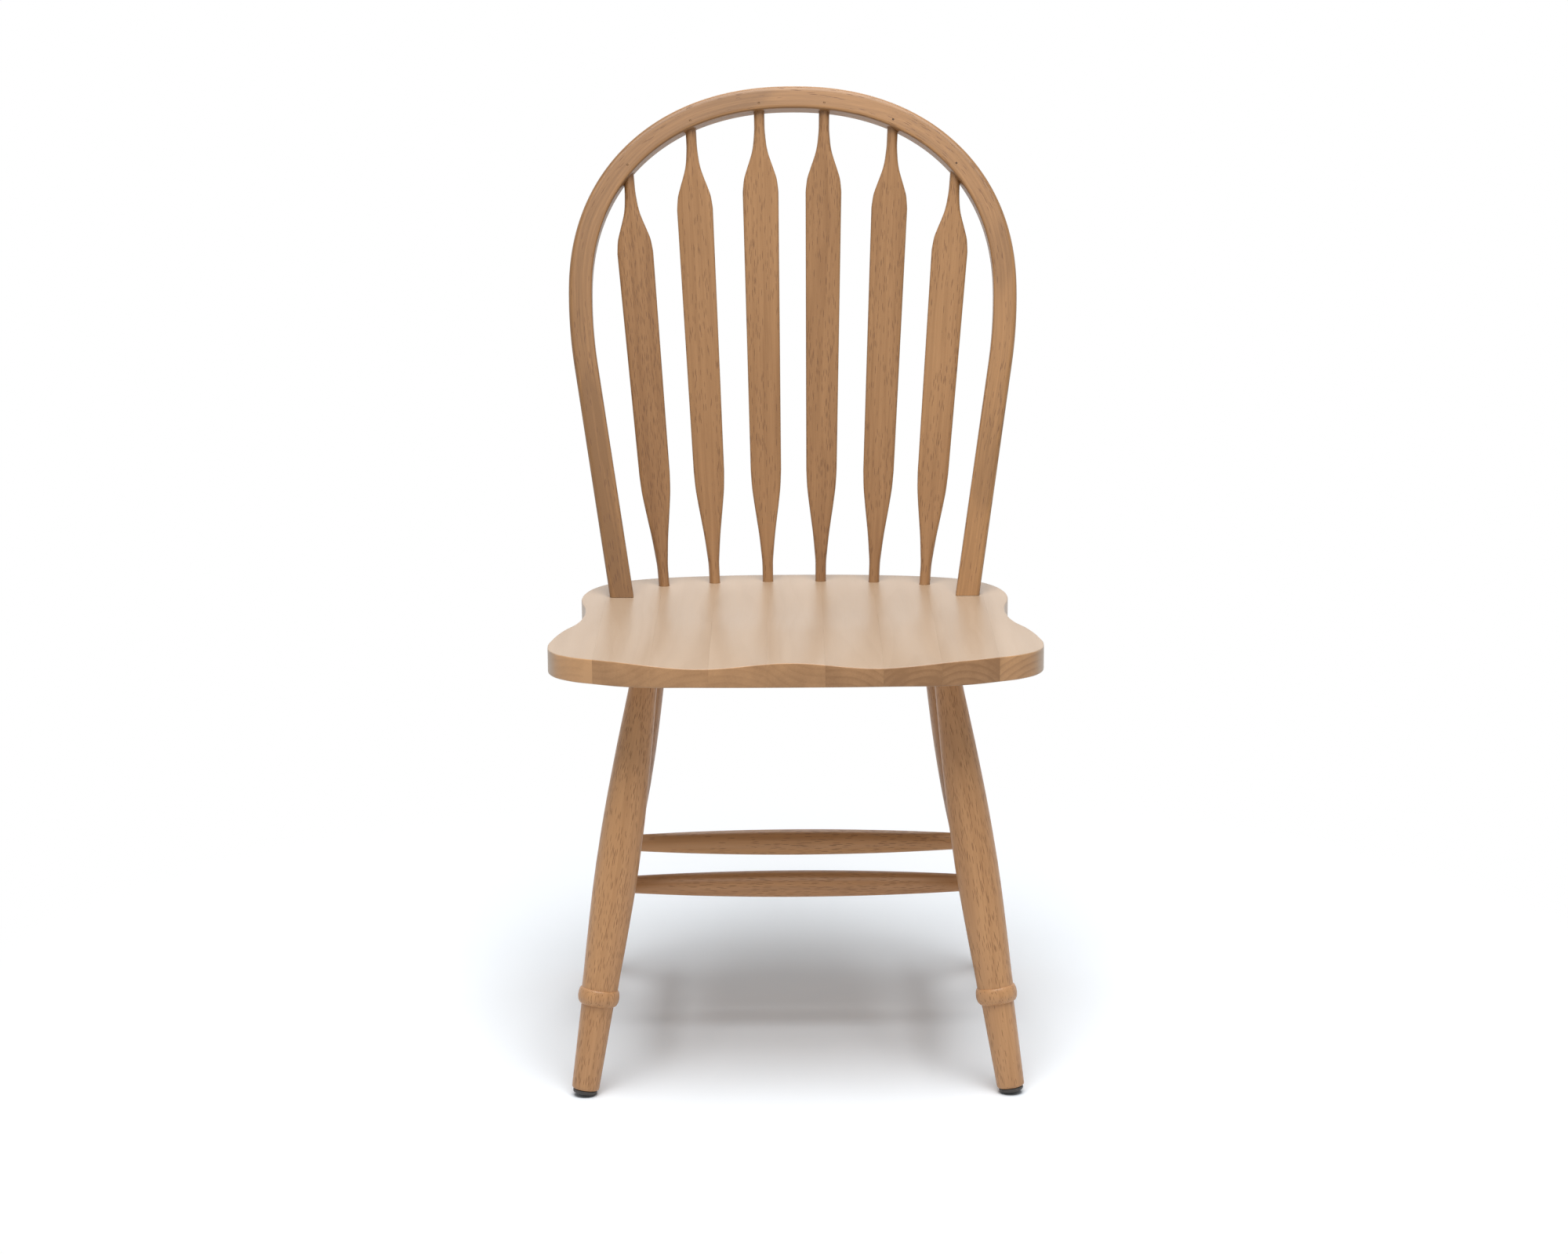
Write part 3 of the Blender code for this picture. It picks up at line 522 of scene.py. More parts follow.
@dataclass(frozen=True)
class WoodCut:
    """What sets one piece of wood apart from the next.

    Attributes:
        seed: Moves the pattern to another part of the log.
        tone: Makes the piece lighter, or darker below 0; on the hoop, the spindles and the front legs
            it is partly the wood's own tone and partly painted light or shade.
        tone_and_light_drift: How much lighter it gets per metre along its grain; on the hoop this is
            partly the wood's own tone and partly painted light, darker at the left end.
        pores: How many pores show: from 0.5, all in the middle of a cluster, and at 1 near its rim too.
        pith: The log's middle, across and deep from the piece's own line, in metres.
        end_tone: Makes the cut ends lighter than the rest, or darker below 0.
        end_rings: How much the growth rings darken the cut ends.
    """

    seed: int
    tone: float = 0.0
    tone_and_light_drift: float = 0.0
    pores: float = 0.0
    pith: tuple[float, float] = (0.045, 0.060)
    end_tone: float = 0.0
    end_rings: float = 0.0


@dataclass(frozen=True)
class WoodFinish:
    """Stained hardwood under satin lacquer, with streaks, faint rings and short dark pores.

    Attributes:
        slot: The record's material slot.
        pale: Its palest wood.
        deep: Its darkest wood.
        pore: The stain that the pores hold.
        pore_cover: How much of the wood's colour a pore's stain hides.
        end_pale: The palest wood where the grain's ends show, or None to leave them alike.
        end_deep: The darkest wood there.
        end_facing: How squarely a face cuts the grain where the ends' colour starts and is full.
        roughness: The lacquer's roughness.
        streak_rough: How much the streaks vary it.
        pore_rough: How much rougher a pore is.
        ior: The lacquer's index of refraction.
        relief: The height of the bump, in metres.
        pore_dip: A pore's share of it.
        streak_rise: The streaks' share of it.
        ring_spacing: From one growth ring to the next, in metres.
        ring_strength: How much a ring darkens the wood.
        ring_along: How fast the rings draw in along the grain, beside across it.
        ring_sway: How many rings the sway moves them.
        ring_rise: The shares of a ring where the late wood starts to darken and is darkest.
        ring_fall: The shares where it starts to pale again and has ended.
        streak_strength: How much fine streaks vary the wood.
        band_strength: How much broad bands vary it.
        fibre_strength: How much the finest fibres vary it.
        sway_cells: Cells to the metre of the noise that makes the grain sway, across, deep and along.
        sway_width: How far it sways, in metres.
        band_cells: Cells of the bands.
        streak_cells: Cells of the streaks.
        fibre_cells: Cells of the fibres.
        pore_cells: Cells of the pores.
        pore_edge: The distances from a cell's middle where a pore starts to fade and has ended.
        cluster_cells: Cells of the clusters that the pores lie in.
        cluster_edge: The noise where a cluster starts and where it is full.
        log_step: How far a seed moves the pattern, in metres.
    """

    slot: str = "stained_wood"
    pale: Colour = (0.570, 0.305, 0.136)
    deep: Colour = (0.375, 0.180, 0.070)
    pore: Colour = (0.110, 0.042, 0.014)
    pore_cover: float = 0.85
    end_pale: Colour | None = None
    end_deep: Colour | None = None
    end_facing: Limits = (0.25, 0.80)
    roughness: float = 0.38
    streak_rough: float = 0.12
    pore_rough: float = 0.18
    ior: float = 1.5
    relief: float = 0.00004
    pore_dip: float = 0.8
    streak_rise: float = 0.25
    ring_spacing: float = 0.0065
    ring_strength: float = 0.16
    ring_along: float = 0.04
    ring_sway: float = 1.4
    ring_rise: Limits = (0.35, 0.88)
    ring_fall: Limits = (0.90, 1.00)
    streak_strength: float = 0.75
    band_strength: float = 0.9
    fibre_strength: float = 0.35
    sway_cells: Cells = (14.0, 14.0, 5.0)
    sway_width: float = 0.012
    band_cells: Cells = (38.0, 38.0, 4.0)
    streak_cells: Cells = (520.0, 520.0, 9.0)
    fibre_cells: Cells = (1900.0, 1900.0, 70.0)
    pore_cells: Cells = (1050.0, 1050.0, 66.0)
    pore_edge: Limits = (0.22, 0.36)
    cluster_cells: Cells = (60.0, 60.0, 9.0)
    cluster_edge: Limits = (0.25, 0.65)
    log_step: Point = (0.37, 0.61, 0.83)

    def material(self, name: str, cut: WoodCut) -> bpy.types.Material:
        """Makes the material of one piece.

        Args:
            name: The piece's name.
            cut: What sets the piece apart.

        Returns:
            The material, which reads the piece's grain.
        """
        material = bpy.data.materials.new(name)
        nodes = Nodes(material)
        place = nodes.add("Attribute", attribute_name=GRAIN_ATTRIBUTE).outputs["Vector"]
        elsewhere = nodes.vector("ADD", place, tuple(step * cut.seed for step in self.log_step))
        sway = nodes.noise(elsewhere, self.sway_cells)
        across_grain = (self.sway_width, self.sway_width, 0.0)
        swayed = nodes.vector("MULTIPLY_ADD", sway, across_grain, elsewhere)
        streak = nodes.noise(swayed, self.streak_cells, 3.0, 0.6)
        ring = self.rings(nodes, place, sway, cut)
        pore = self.pores(nodes, elsewhere, cut)
        patterns = (
            (nodes.noise(swayed, self.band_cells), self.band_strength),
            (streak, self.streak_strength),
            (nodes.noise(swayed, self.fibre_cells), self.fibre_strength),
        )
        tone = 0.5 + cut.tone
        for pattern, strength in patterns:
            tone = nodes.math("MULTIPLY_ADD", nodes.math("SUBTRACT", pattern, 0.5), strength, tone)
        tone = nodes.math("MULTIPLY_ADD", ring, -self.ring_strength, tone)
        # A steady change in tone along the grain: on the hoop it is partly the wood's own and partly
        # painted light, darker at the left end and lighter towards the right.
        if cut.tone_and_light_drift:
            along = nodes.add("SeparateXYZ", {0: place}).outputs[2]
            tone = nodes.math("MULTIPLY_ADD", along, cut.tone_and_light_drift, tone)
        wood = self.shade(nodes, tone, self.deep, self.pale)
        # Cut ends take their own colour. On the seat the faces' colour holds painted sheen, so there
        # part of the step from faces to ends is painted light.
        if self.end_pale and self.end_deep:
            end_tone = nodes.math("ADD", tone, cut.end_tone)
            end_tone = nodes.math("MULTIPLY_ADD", ring, -cut.end_rings, end_tone)
            ends = self.shade(nodes, end_tone, self.end_deep, self.end_pale)
            normal = nodes.add("NewGeometry").outputs["Normal"]
            facing = nodes.math("ABSOLUTE", nodes.number("DOT_PRODUCT", normal, BACK))
            wood = nodes.mix(nodes.smooth(facing, self.end_facing), wood, ends)
        colour = nodes.mix(nodes.math("MULTIPLY", pore, self.pore_cover), wood, opaque(self.pore))
        smoothest = self.roughness - self.streak_rough / 2
        rough = nodes.math("MULTIPLY_ADD", streak, self.streak_rough, smoothest)
        rough = nodes.math("MULTIPLY_ADD", pore, self.pore_rough, rough)
        height = nodes.math("MULTIPLY", streak, self.streak_rise)
        height = nodes.math("MULTIPLY_ADD", pore, -self.pore_dip, height)
        height = nodes.math("ADD", height, self.pore_dip)
        nodes.surface({"Base Color": colour, "Roughness": rough, "IOR": self.ior}, height, self.relief)
        return material

    @staticmethod
    def shade(
        nodes: Nodes, tone: bpy.types.NodeSocket, deep: Colour, pale: Colour
    ) -> bpy.types.NodeSocket:
        """The colour between two for a tone that may lie past 0 and 1."""
        held = nodes.add("Clamp", {0: tone}).outputs[0]
        return nodes.mix(held, opaque(deep), opaque(pale))

    def rings(
        self, nodes: Nodes, place: bpy.types.NodeSocket, sway: bpy.types.NodeSocket, cut: WoodCut
    ) -> bpy.types.NodeSocket:
        """Growth rings round the log's middle: 1 in the dark late wood, 0 between.

        Args:
            nodes: The material's nodes.
            place: Where the point lies in the piece.
            sway: Noise that bends the rings.
            cut: What sets the piece apart.

        Returns:
            The rings' value.
        """
        away = nodes.vector("SUBTRACT", place, (*cut.pith, 0.0))
        radius = nodes.number("LENGTH", nodes.vector("MULTIPLY", away, (1.0, 1.0, self.ring_along)))
        count = nodes.math("DIVIDE", radius, self.ring_spacing)
        share = nodes.math("FRACT", nodes.math("MULTIPLY_ADD", sway, self.ring_sway, count))
        left = nodes.math("SUBTRACT", 1.0, nodes.smooth(share, self.ring_fall))
        return nodes.math("MULTIPLY", nodes.smooth(share, self.ring_rise), left)

    def pores(self, nodes: Nodes, place: bpy.types.NodeSocket, cut: WoodCut) -> bpy.types.NodeSocket:
        """Short dark dashes along the grain, in loose clusters.

        Args:
            nodes: The material's nodes.
            place: Where the point lies in the log.
            cut: What sets the piece apart.

        Returns:
            1 inside a pore, 0 outside.
        """
        spread = nodes.vector("MULTIPLY", place, self.pore_cells)
        cells = nodes.add("TexVoronoi", {"Vector": spread, "Scale": 1.0, "Randomness": 1.0}).outputs
        dash = nodes.math("SUBTRACT", 1.0, nodes.smooth(cells["Distance"], self.pore_edge))
        chance = nodes.add("SeparateXYZ", {0: cells["Color"]}).outputs[0]
        cluster = nodes.smooth(nodes.noise(place, self.cluster_cells, 1.0), self.cluster_edge)
        limit = nodes.math("MULTIPLY", cluster, 2 * cut.pores)
        return nodes.math("MULTIPLY", dash, nodes.math("LESS_THAN", chance, limit))


@dataclass(frozen=True)
class PlasticFinish:
    """Charcoal moulded plastic, scuffed where it slides."""

    slot: str = "glide_plastic"
    colour: Colour = (0.060, 0.054, 0.050)
    scuff: Colour = (0.120, 0.112, 0.104)
    scuff_cover: float = 0.6
    scuff_cells: float = 320.0
    scuff_edge: Limits = (0.52, 0.75)
    scuff_rough: float = 0.15
    grit_cells: float = 2600.0
    grit_height: float = 0.00005
    roughness: float = 0.55
    ior: float = 1.46

    def material(self, name: str) -> bpy.types.Material:
        """Makes the glides' material."""
        material = bpy.data.materials.new(name)
        nodes = Nodes(material)
        worn = nodes.smooth(nodes.mottle(self.scuff_cells, 3.0), self.scuff_edge)
        scuffed = nodes.math("MULTIPLY", worn, self.scuff_cover)
        colour = nodes.mix(scuffed, opaque(self.colour), opaque(self.scuff))
        rough = nodes.math("MULTIPLY_ADD", worn, self.scuff_rough, self.roughness)
        inputs = {"Base Color": colour, "Roughness": rough, "IOR": self.ior}
        nodes.surface(inputs, nodes.mottle(self.grit_cells, 2.0), self.grit_height)
        return material


@dataclass(frozen=True)
class SteelFinish:
    """Plated steel, a little stained."""

    colour: Colour = (0.46, 0.45, 0.43)
    stain: Colour = (0.20, 0.17, 0.14)
    stain_cells: float = 900.0
    stain_edge: Limits = (0.45, 0.72)
    stain_rough: float = 0.25
    relief: float = 0.00002
    roughness: float = 0.34

    def material(self, name: str) -> bpy.types.Material:
        """Makes the material of the screws and nails."""
        material = bpy.data.materials.new(name)
        nodes = Nodes(material)
        blotch = nodes.mottle(self.stain_cells, 3.0)
        stained = nodes.smooth(blotch, self.stain_edge)
        colour = nodes.mix(stained, opaque(self.colour), opaque(self.stain))
        rough = nodes.math("MULTIPLY_ADD", stained, self.stain_rough, self.roughness)
        inputs = {"Base Color": colour, "Roughness": rough, "Metallic": 1.0}
        nodes.surface(inputs, blotch, self.relief)
        return material


@dataclass(frozen=True)
class FillerFinish:
    """Wax filler over a brad's head, mixed to go with the stain."""

    colour: Colour
    fleck: Colour
    fleck_cells: float = 1400.0
    fleck_rough: float = 0.2
    relief: float = 0.00002
    roughness: float = 0.5
    ior: float = 1.45

    def material(self, name: str) -> bpy.types.Material:
        """Makes the filler's material."""
        material = bpy.data.materials.new(name)
        nodes = Nodes(material)
        mix = nodes.mottle(self.fleck_cells, 2.0)
        colour = nodes.mix(mix, opaque(self.colour), opaque(self.fleck))
        smoothest = self.roughness - self.fleck_rough / 2
        rough = nodes.math("MULTIPLY_ADD", mix, self.fleck_rough, smoothest)
        nodes.surface({"Base Color": colour, "Roughness": rough, "IOR": self.ior}, mix, self.relief)
        return material


def dress(
    piece: bpy.types.Object, material: bpy.types.Material, slot: str, nodes: Sequence[str]
) -> None:
    """Gives a finished piece its material and its place in the frame.

    Args:
        piece: The piece.
        material: Its material.
        slot: The record's material slot; not used.
        nodes: The frame's nodes that it stands for.
    """
    piece.data.materials.clear()
    piece.data.materials.append(material)
    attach(piece, BODY)
    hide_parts(*nodes)
    log.info("%s: %d faces", piece.name, len(piece.data.polygons))


@dataclass
class Seat:
    """Nine edge-glued boards under one saddled top.

    Attributes:
        outline: Right half of the outline, front to back, in half widths and depths.
        saddle_x: The saddle's middle, across from the seat's.
        scoop_pitch: From one thigh scoop's middle to the other's.
        scoop_depth: How deep a scoop is where it runs out through the front edge.
        scoop_length: How far back a scoop starts.
        dish_depth: The depth of the dish behind the scoops.
        dish_from_rear: From the seat's rear edge to the dish's middle.
        joint_gap: What stays open between two boards.
    """

    outline: Table = (
        (0.000, 0.000),
        (0.400, 0.004),
        (0.650, 0.013),
        (0.800, 0.045),
        (0.917, 0.083),
        (0.980, 0.129),
        (1.000, 0.193),
        (0.992, 0.248),
        (0.955, 0.352),
        (0.908, 0.430),
        (0.886, 0.510),
        (0.887, 0.600),
        (0.906, 0.670),
        (0.913, 0.725),
        (0.897, 0.800),
        (0.862, 0.855),
        (0.810, 0.898),
        (0.740, 0.931),
        (0.650, 0.956),
        (0.390, 0.988),
        (0.000, 1.000),
    )
    board_count: int = 9
    end_board_width: float = 0.0475
    saddle_x: float = -0.0065
    scoop_pitch: float = 0.178
    scoop_depth: float = 0.0062
    scoop_length: float = 0.165
    dish_depth: float = 0.0032
    dish_from_rear: float = 0.166
    dish_half_width: float = 0.185
    dish_half_length: float = 0.125
    top_round: float = 0.0012
    bottom_round: float = 0.0018
    round_steps: int = 6
    outline_steps: int = 12
    cuts_across: int = 9
    cuts_back: int = 72
    joint_gap: float = 0.00004
    # The seat's faces are paler and greyer than its cut ends, partly the wood's own colour and partly
    # painted sheen: the top is lightened to stand in for the white surroundings that its lacquer
    # reflects at a grazing angle.
    finish: WoodFinish = WoodFinish(
        slot="seat_wood",
        pale=(0.470, 0.345, 0.240),
        deep=(0.350, 0.238, 0.148),
        end_pale=(0.610, 0.340, 0.160),
        end_deep=(0.300, 0.150, 0.060),
        roughness=0.34,
        ring_spacing=0.0070,
        ring_strength=0.10,
        streak_strength=0.35,
        fibre_strength=0.15,
    )

    def __post_init__(self) -> None:
        """Reads the seat's own sizes off the frame's boards."""
        self.names = [f"seat_board_{number}" for number in range(1, self.board_count + 1)]
        boxes = [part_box(name) for name in self.names]
        low = Vector(min(corner[axis] for corner, _ in boxes) for axis in range(3))
        high = Vector(max(corner[axis] for _, corner in boxes) for axis in range(3))
        self.left, self.front, self.underside = low
        self.right, _, self.top = high
        self.width = high.x - low.x
        self.depth = high.y - low.y
        self.board_width = (self.width - 2 * self.end_board_width) / (self.board_count - 2)

    def at(self, across: float, back: float, height: float) -> Vector:
        """A point of the frame, back from the seat's front edge."""
        return Vector((across, self.front + back, height))

    def hollow(self, across: float, back: float) -> float:
        """How deep the saddle is at a place.

        Args:
            across: Across from the seat's middle.
            back: Back from its front edge.

        Returns:
            The depth below the seat's top.
        """
        side = (across - self.saddle_x) / self.scoop_pitch
        scoop = 0.0
        if abs(side) < 1:
            run = max(1 - back / self.scoop_length, 0)
            scoop = self.scoop_depth * (1 - math.cos(2 * math.pi * side)) / 2 * run**2
        dish_back = self.depth - self.dish_from_rear
        away = (across / self.dish_half_width) ** 2 + ((back - dish_back) / self.dish_half_length) ** 2
        dish = self.dish_depth * max(1 - away, 0) ** 2
        return scoop + dish

    def outline_points(self) -> list[Vector]:
        """The outline's points, round the seat, from a smooth curve."""
        half = [(across * self.width / 2, back * self.depth) for across, back in self.outline]
        round_trip = half + [(-across, back) for across, back in half[-2:0:-1]]
        curve = bpy.data.curves.new("seat_outline", "CURVE")
        curve.dimensions = "2D"
        curve.fill_mode = "NONE"
        curve.resolution_u = self.outline_steps
        spline = curve.splines.new("BEZIER")
        spline.bezier_points.add(len(round_trip) - 1)
        for point, (x, y) in zip(spline.bezier_points, round_trip):
            point.co = (x, y, 0)
            point.handle_left_type = "AUTO"
            point.handle_right_type = "AUTO"
        spline.use_cyclic_u = True
        guide = bpy.data.objects.new("seat_outline", curve)
        bpy.context.scene.collection.objects.link(guide)
        mesh = evaluated_mesh(guide)
        points = [vert.co.copy() for vert in mesh.vertices]
        bpy.data.meshes.remove(mesh)
        bpy.data.objects.remove(guide)
        bpy.data.curves.remove(curve)
        return points

    def form(self) -> bmesh.types.BMesh:
        """The whole seat with its rounded edges, still flat, before it is parted into boards."""
        points = self.outline_points()
        count = len(points)
        centre = Vector((0, self.depth / 2, 0))
        outward = []
        for index, point in enumerate(points):
            along = points[(index + 1) % count] - points[index - 1]
            normal = Vector((along.y, -along.x, 0)).normalized()
            outward.append(normal if normal.dot(point - centre) > 0 else -normal)
        bm = bmesh.new()
        rings = []
        for inset, height in self.edge_plan():
            verts = bmesh.ops.create_circle(bm, segments=count, radius=1)["verts"]
            rings.append(verts)
            for vert, point, normal in zip(verts, points, outward):
                flat = point - normal * inset
                vert.co = self.at(flat.x, flat.y, self.underside + height)
        for first, second in zip(rings, rings[1:]):
            edges = [edge for verts in (first, second) for edge in self.ring_edges(verts)]
            bmesh.ops.bridge_loops(bm, edges=edges)
        close_holes(bm)
        return bm

    @staticmethod
    def ring_edges(verts: Sequence[bmesh.types.BMVert]) -> list[bmesh.types.BMEdge]:
        """The edges that join a ring's own points."""
        own = set(verts)
        return list({edge for vert in verts for edge in vert.link_edges if set(edge.verts) <= own})

    def edge_plan(self) -> list[tuple[float, float]]:
        """(inset, height) of each ring round the edge, from the underside to the top."""
        thickness = self.top - self.underside
        plan = []
        for sine, cosine in quarter_turn(self.round_steps):
            plan.append((self.bottom_round * (1 - sine), self.bottom_round * (1 - cosine)))
        for sine, cosine in quarter_turn(self.round_steps):
            plan.append((self.top_round * (1 - cosine), thickness - self.top_round * (1 - sine)))
        return plan

    def saddle(self, bm: bmesh.types.BMesh, left: float, right: float) -> None:
        """Sinks the saddle into one board's top.

        Args:
            bm: The board.
            left: Its left side.
            right: Its right side.
        """
        for step in range(1, self.cuts_across):
            across = left + (right - left) * step / self.cuts_across
            saw(bm, Vector((across, 0, 0)), ACROSS, clear=False)
        for step in range(1, self.cuts_back):
            saw(bm, self.at(0, self.depth * step / self.cuts_back, 0), BACK, clear=False)
        for vert in bm.verts:
            if vert.co.z > (self.top + self.underside) / 2:
                vert.co.z -= self.hollow(vert.co.x, vert.co.y - self.front)

    def joints(self) -> list[float]:
        """Where the boards meet, across the seat."""
        first = -self.board_width * (self.board_count - 2) / 2
        return [first + count * self.board_width for count in range(self.board_count - 1)]

    def build(self, sockets: Sequence[bpy.types.Object]) -> None:
        """Parts the saddled form into its nine boards, bores them and dresses them.

        Args:
            sockets: The cutters of all that stands in the seat, which are used up.
        """
        form = self.form()
        edges = [self.left, *self.joints(), self.right]
        for name, cut, left, right in zip(self.names, SEAT_BOARD_CUTS, edges, edges[1:]):
            bm = form.copy()
            if left > self.left:
                saw(bm, Vector((left + self.joint_gap / 2, 0, 0)), -ACROSS)
            if right < self.right:
                saw(bm, Vector((right - self.joint_gap / 2, 0, 0)), ACROSS)
            self.saddle(bm, left, right)
            board = piece_from(f"{name}_saddled", bm)
            bores = [twin(socket) for socket in sockets if reaches(socket, left, right)]
            if bores:
                shape_with(board, bores)
            middle = self.at((left + right) / 2, 0, self.underside)
            lay_grain(board, GrainLine(aim(middle, middle + BACK)))
            dress(board, self.finish.material(name, cut), self.finish.slot, [name])
        form.free()
        for socket in sockets:
            bpy.data.meshes.remove(socket.data)


@dataclass
class HoopLine:
    """The hoop's centreline, in one plane that is raked back from the seat.

    Attributes:
        seat: The seat that it stands in.
        rake: How far the plane leans back.
        end_from_side: From the seat's side to where the line meets the seat's top.
        end_from_rear: The same from the seat's rear edge.
        half_width: From the middle to the line where it is widest.
        widest_up: How far up the plane that is.
        shoulder_drop: How far below it the straight ends start to curve.
        crown_rise: How far the crown rises above it.
        crown_power: The crown's fullness; 2 is an ellipse.
        below_seat: How far the line runs on below the seat's top.
        samples: About how many points the line has.
        way_span: How many points either side of a place its direction is read from.
    """

    seat: Seat
    rake: float = math.radians(19.0)
    end_from_side: float = 0.0632
    end_from_rear: float = 0.1070
    half_width: float = 0.2277
    widest_up: float = 0.3272
    shoulder_drop: float = 0.0786
    crown_rise: float = 0.2128
    crown_power: float = 2.2
    below_seat: float = 0.022
    samples: int = 1200
    way_span: int = 3

    def __post_init__(self) -> None:
        """Works out the plane and the line."""
        self.end_x = self.seat.width / 2 - self.end_from_side
        end = self.seat.at(0, self.seat.depth - self.end_from_rear, self.seat.top)
        self.plane = Matrix.Translation(end) @ Matrix.Rotation(math.pi / 2 - self.rake, 4, "X")
        self.front_way = (self.plane.to_3x3() @ UP).normalized()
        self.lean = 2 * (self.half_width - self.end_x) / (2 * self.widest_up - self.shoulder_drop)
        half = [(self.end_x - self.lean * self.below_seat, -self.below_seat)]
        straight_top = self.widest_up - self.shoulder_drop
        steps = self.samples // 4
        for step in range(steps):
            up = straight_top * step / steps
            half.append((self.end_x + self.lean * up, up))
        for step in range(steps):
            drop_share = 1 - step / steps
            inward = self.lean * self.shoulder_drop * drop_share**2 / 2
            half.append((self.half_width - inward, self.widest_up - self.shoulder_drop * drop_share))
        power = 2 / self.crown_power
        for sine, cosine in quarter_turn(2 * steps)[:-1]:
            rise = self.crown_rise * sine**power
            half.append((self.half_width * cosine**power, self.widest_up + rise))
        half.append((0.0, self.widest_up + self.crown_rise))
        line = [Vector((-across, up)) for across, up in half]
        line += [Vector(point) for point in half[-2::-1]]
        self.line = line
        self.lengths = [0.0]
        for start, end_point in zip(line, line[1:]):
            self.lengths.append(self.lengths[-1] + (end_point - start).length)

    def point(self, across: float, up: float) -> Vector:
        """A point of the hoop's plane, across the chair and up along the rake."""
        return self.plane @ Vector((across, up, 0))

    def crown_up(self, across: float) -> float:
        """How high the line is, along the rake, at a place across the chair."""
        share = min(abs(across) / self.half_width, 1)
        rise_share = (1 - share**self.crown_power) ** (1 / self.crown_power)
        return self.widest_up + self.crown_rise * rise_share

    def frame_at(self, share: float) -> Matrix:
        """A frame on the line: +Z along it, +X away from the chair's middle, +Y towards the front.

        Args:
            share: Share of the line's length, from the left end.

        Returns:
            The frame as a matrix.
        """
        target = share * self.lengths[-1]
        place = self.index_at(target)
        start, end = self.line[place], self.line[place + 1]
        length = self.lengths[place + 1] - self.lengths[place]
        middle = start.lerp(end, (target - self.lengths[place]) / length)
        before = self.line[max(place - self.way_span, 0)]
        after = self.line[min(place + 1 + self.way_span, len(self.line) - 1)]
        way = (after - before).normalized()
        along = (self.plane.to_3x3() @ Vector((way.x, way.y, 0))).normalized()
        side = self.front_way.cross(along).normalized()
        turn = Matrix((side, self.front_way, along)).transposed().to_4x4()
        return Matrix.Translation(self.point(middle.x, middle.y)) @ turn

    def index_at(self, target: float) -> int:
        """The last sample at or before a distance along the line."""
        low, high = 0, len(self.lengths) - 2
        while low < high:
            middle = (low + high + 1) // 2
            if self.lengths[middle] <= target:
                low = middle
            else:
                high = middle - 1
        return low

    def end(self, side: Side) -> tuple[Vector, Vector]:
        """Where the line meets the seat's top on one side, and the way up along it there."""
        foot = self.point(side.value * self.end_x, 0)
        rise = self.below_seat
        above = self.point(side.value * (self.end_x + self.lean * rise), rise)
        return foot, (above - foot).normalized()


@dataclass
class Hoop:
    """The bent hoop, with its tenons in the seat and its sockets for the spindles.

    Attributes:
        line: Its centreline.
        width: Its section's size in its own plane.
        depth: Its section's size front to back.
        outer_round: The radius of its edges round the outside.
        inner_round: The radius of its edges towards the spindles.
        sides: Points round the section.
        rings: Sections from end to end.
        grain_steps: Steps from end to end in which the grain follows the bend.
    """

    line: HoopLine
    width: float = 0.0248
    depth: float = 0.0220
    outer_round: float = 0.0045
    inner_round: float = 0.0022
    tenon_radius: float = 0.008
    tenon_length: float = 0.017
    sides: int = 44
    rings: int = 420
    grain_steps: int = 600
    finish: WoodFinish = WoodFinish(
        pale=(0.430, 0.220, 0.085),
        deep=(0.212, 0.103, 0.036),
        ring_strength=0.25,
        streak_strength=1.2,
        band_strength=0.6,
    )
    # The hoop's tone below 0 and its drift are partly its own wood and partly painted shade: they dim
    # the top that the overhead light brightens, and the left end most.
    cut: WoodCut = WoodCut(seed=3, tone=-0.34, tone_and_light_drift=0.36, pores=0.25, pith=(0.0, 0.070))

    def build(self, spindles: "ArrowSpindles", fasteners: "Fasteners") -> None:
        """Makes and dresses the hoop.

        Args:
            spindles: The spindles whose heads it holds.
            fasteners: The screws and brads that go into it.
        """
        last = self.rings - 1
        places = [self.line.frame_at(ring / last) for ring in range(self.rings)]

        def bend(turn: float, share: float) -> Vector:
            """Puts a point of the section's edge in place; the inner side's corners are crisper."""
            edge_round = self.inner_round if math.cos(turn) < 0 else self.outer_round
            flat = rounded_oblong(turn, self.width / 2, self.depth / 2, edge_round)
            return places[round(share * last)] @ flat

        bm = rod(self.sides, self.rings, bend)
        saw(bm, UP * (self.line.seat.top + FIT_GAP), -UP)
        hoop = piece_from("bent_hoop", bm)
        tenons = []
        for side in Side:
            foot, up = self.line.end(side)
            tenons.append(peg(foot - up * self.tenon_length, foot + up * self.width, self.tenon_radius))
        shape_with(hoop, tenons, Shaping.JOIN)
        tools = [spindles.head_socket(count) for count in spindles.numbers()]
        tools += fasteners.hoop_holes()
        shape_with(hoop, tools)
        shares = [step / self.grain_steps for step in range(self.grain_steps + 1)]
        frames = [(self.line.frame_at(share), self.line.lengths[-1] * share) for share in shares]
        lay_grain(hoop, BentGrain(frames))
        dress(hoop, self.finish.material("hoop", self.cut), self.finish.slot, ["hoop"])


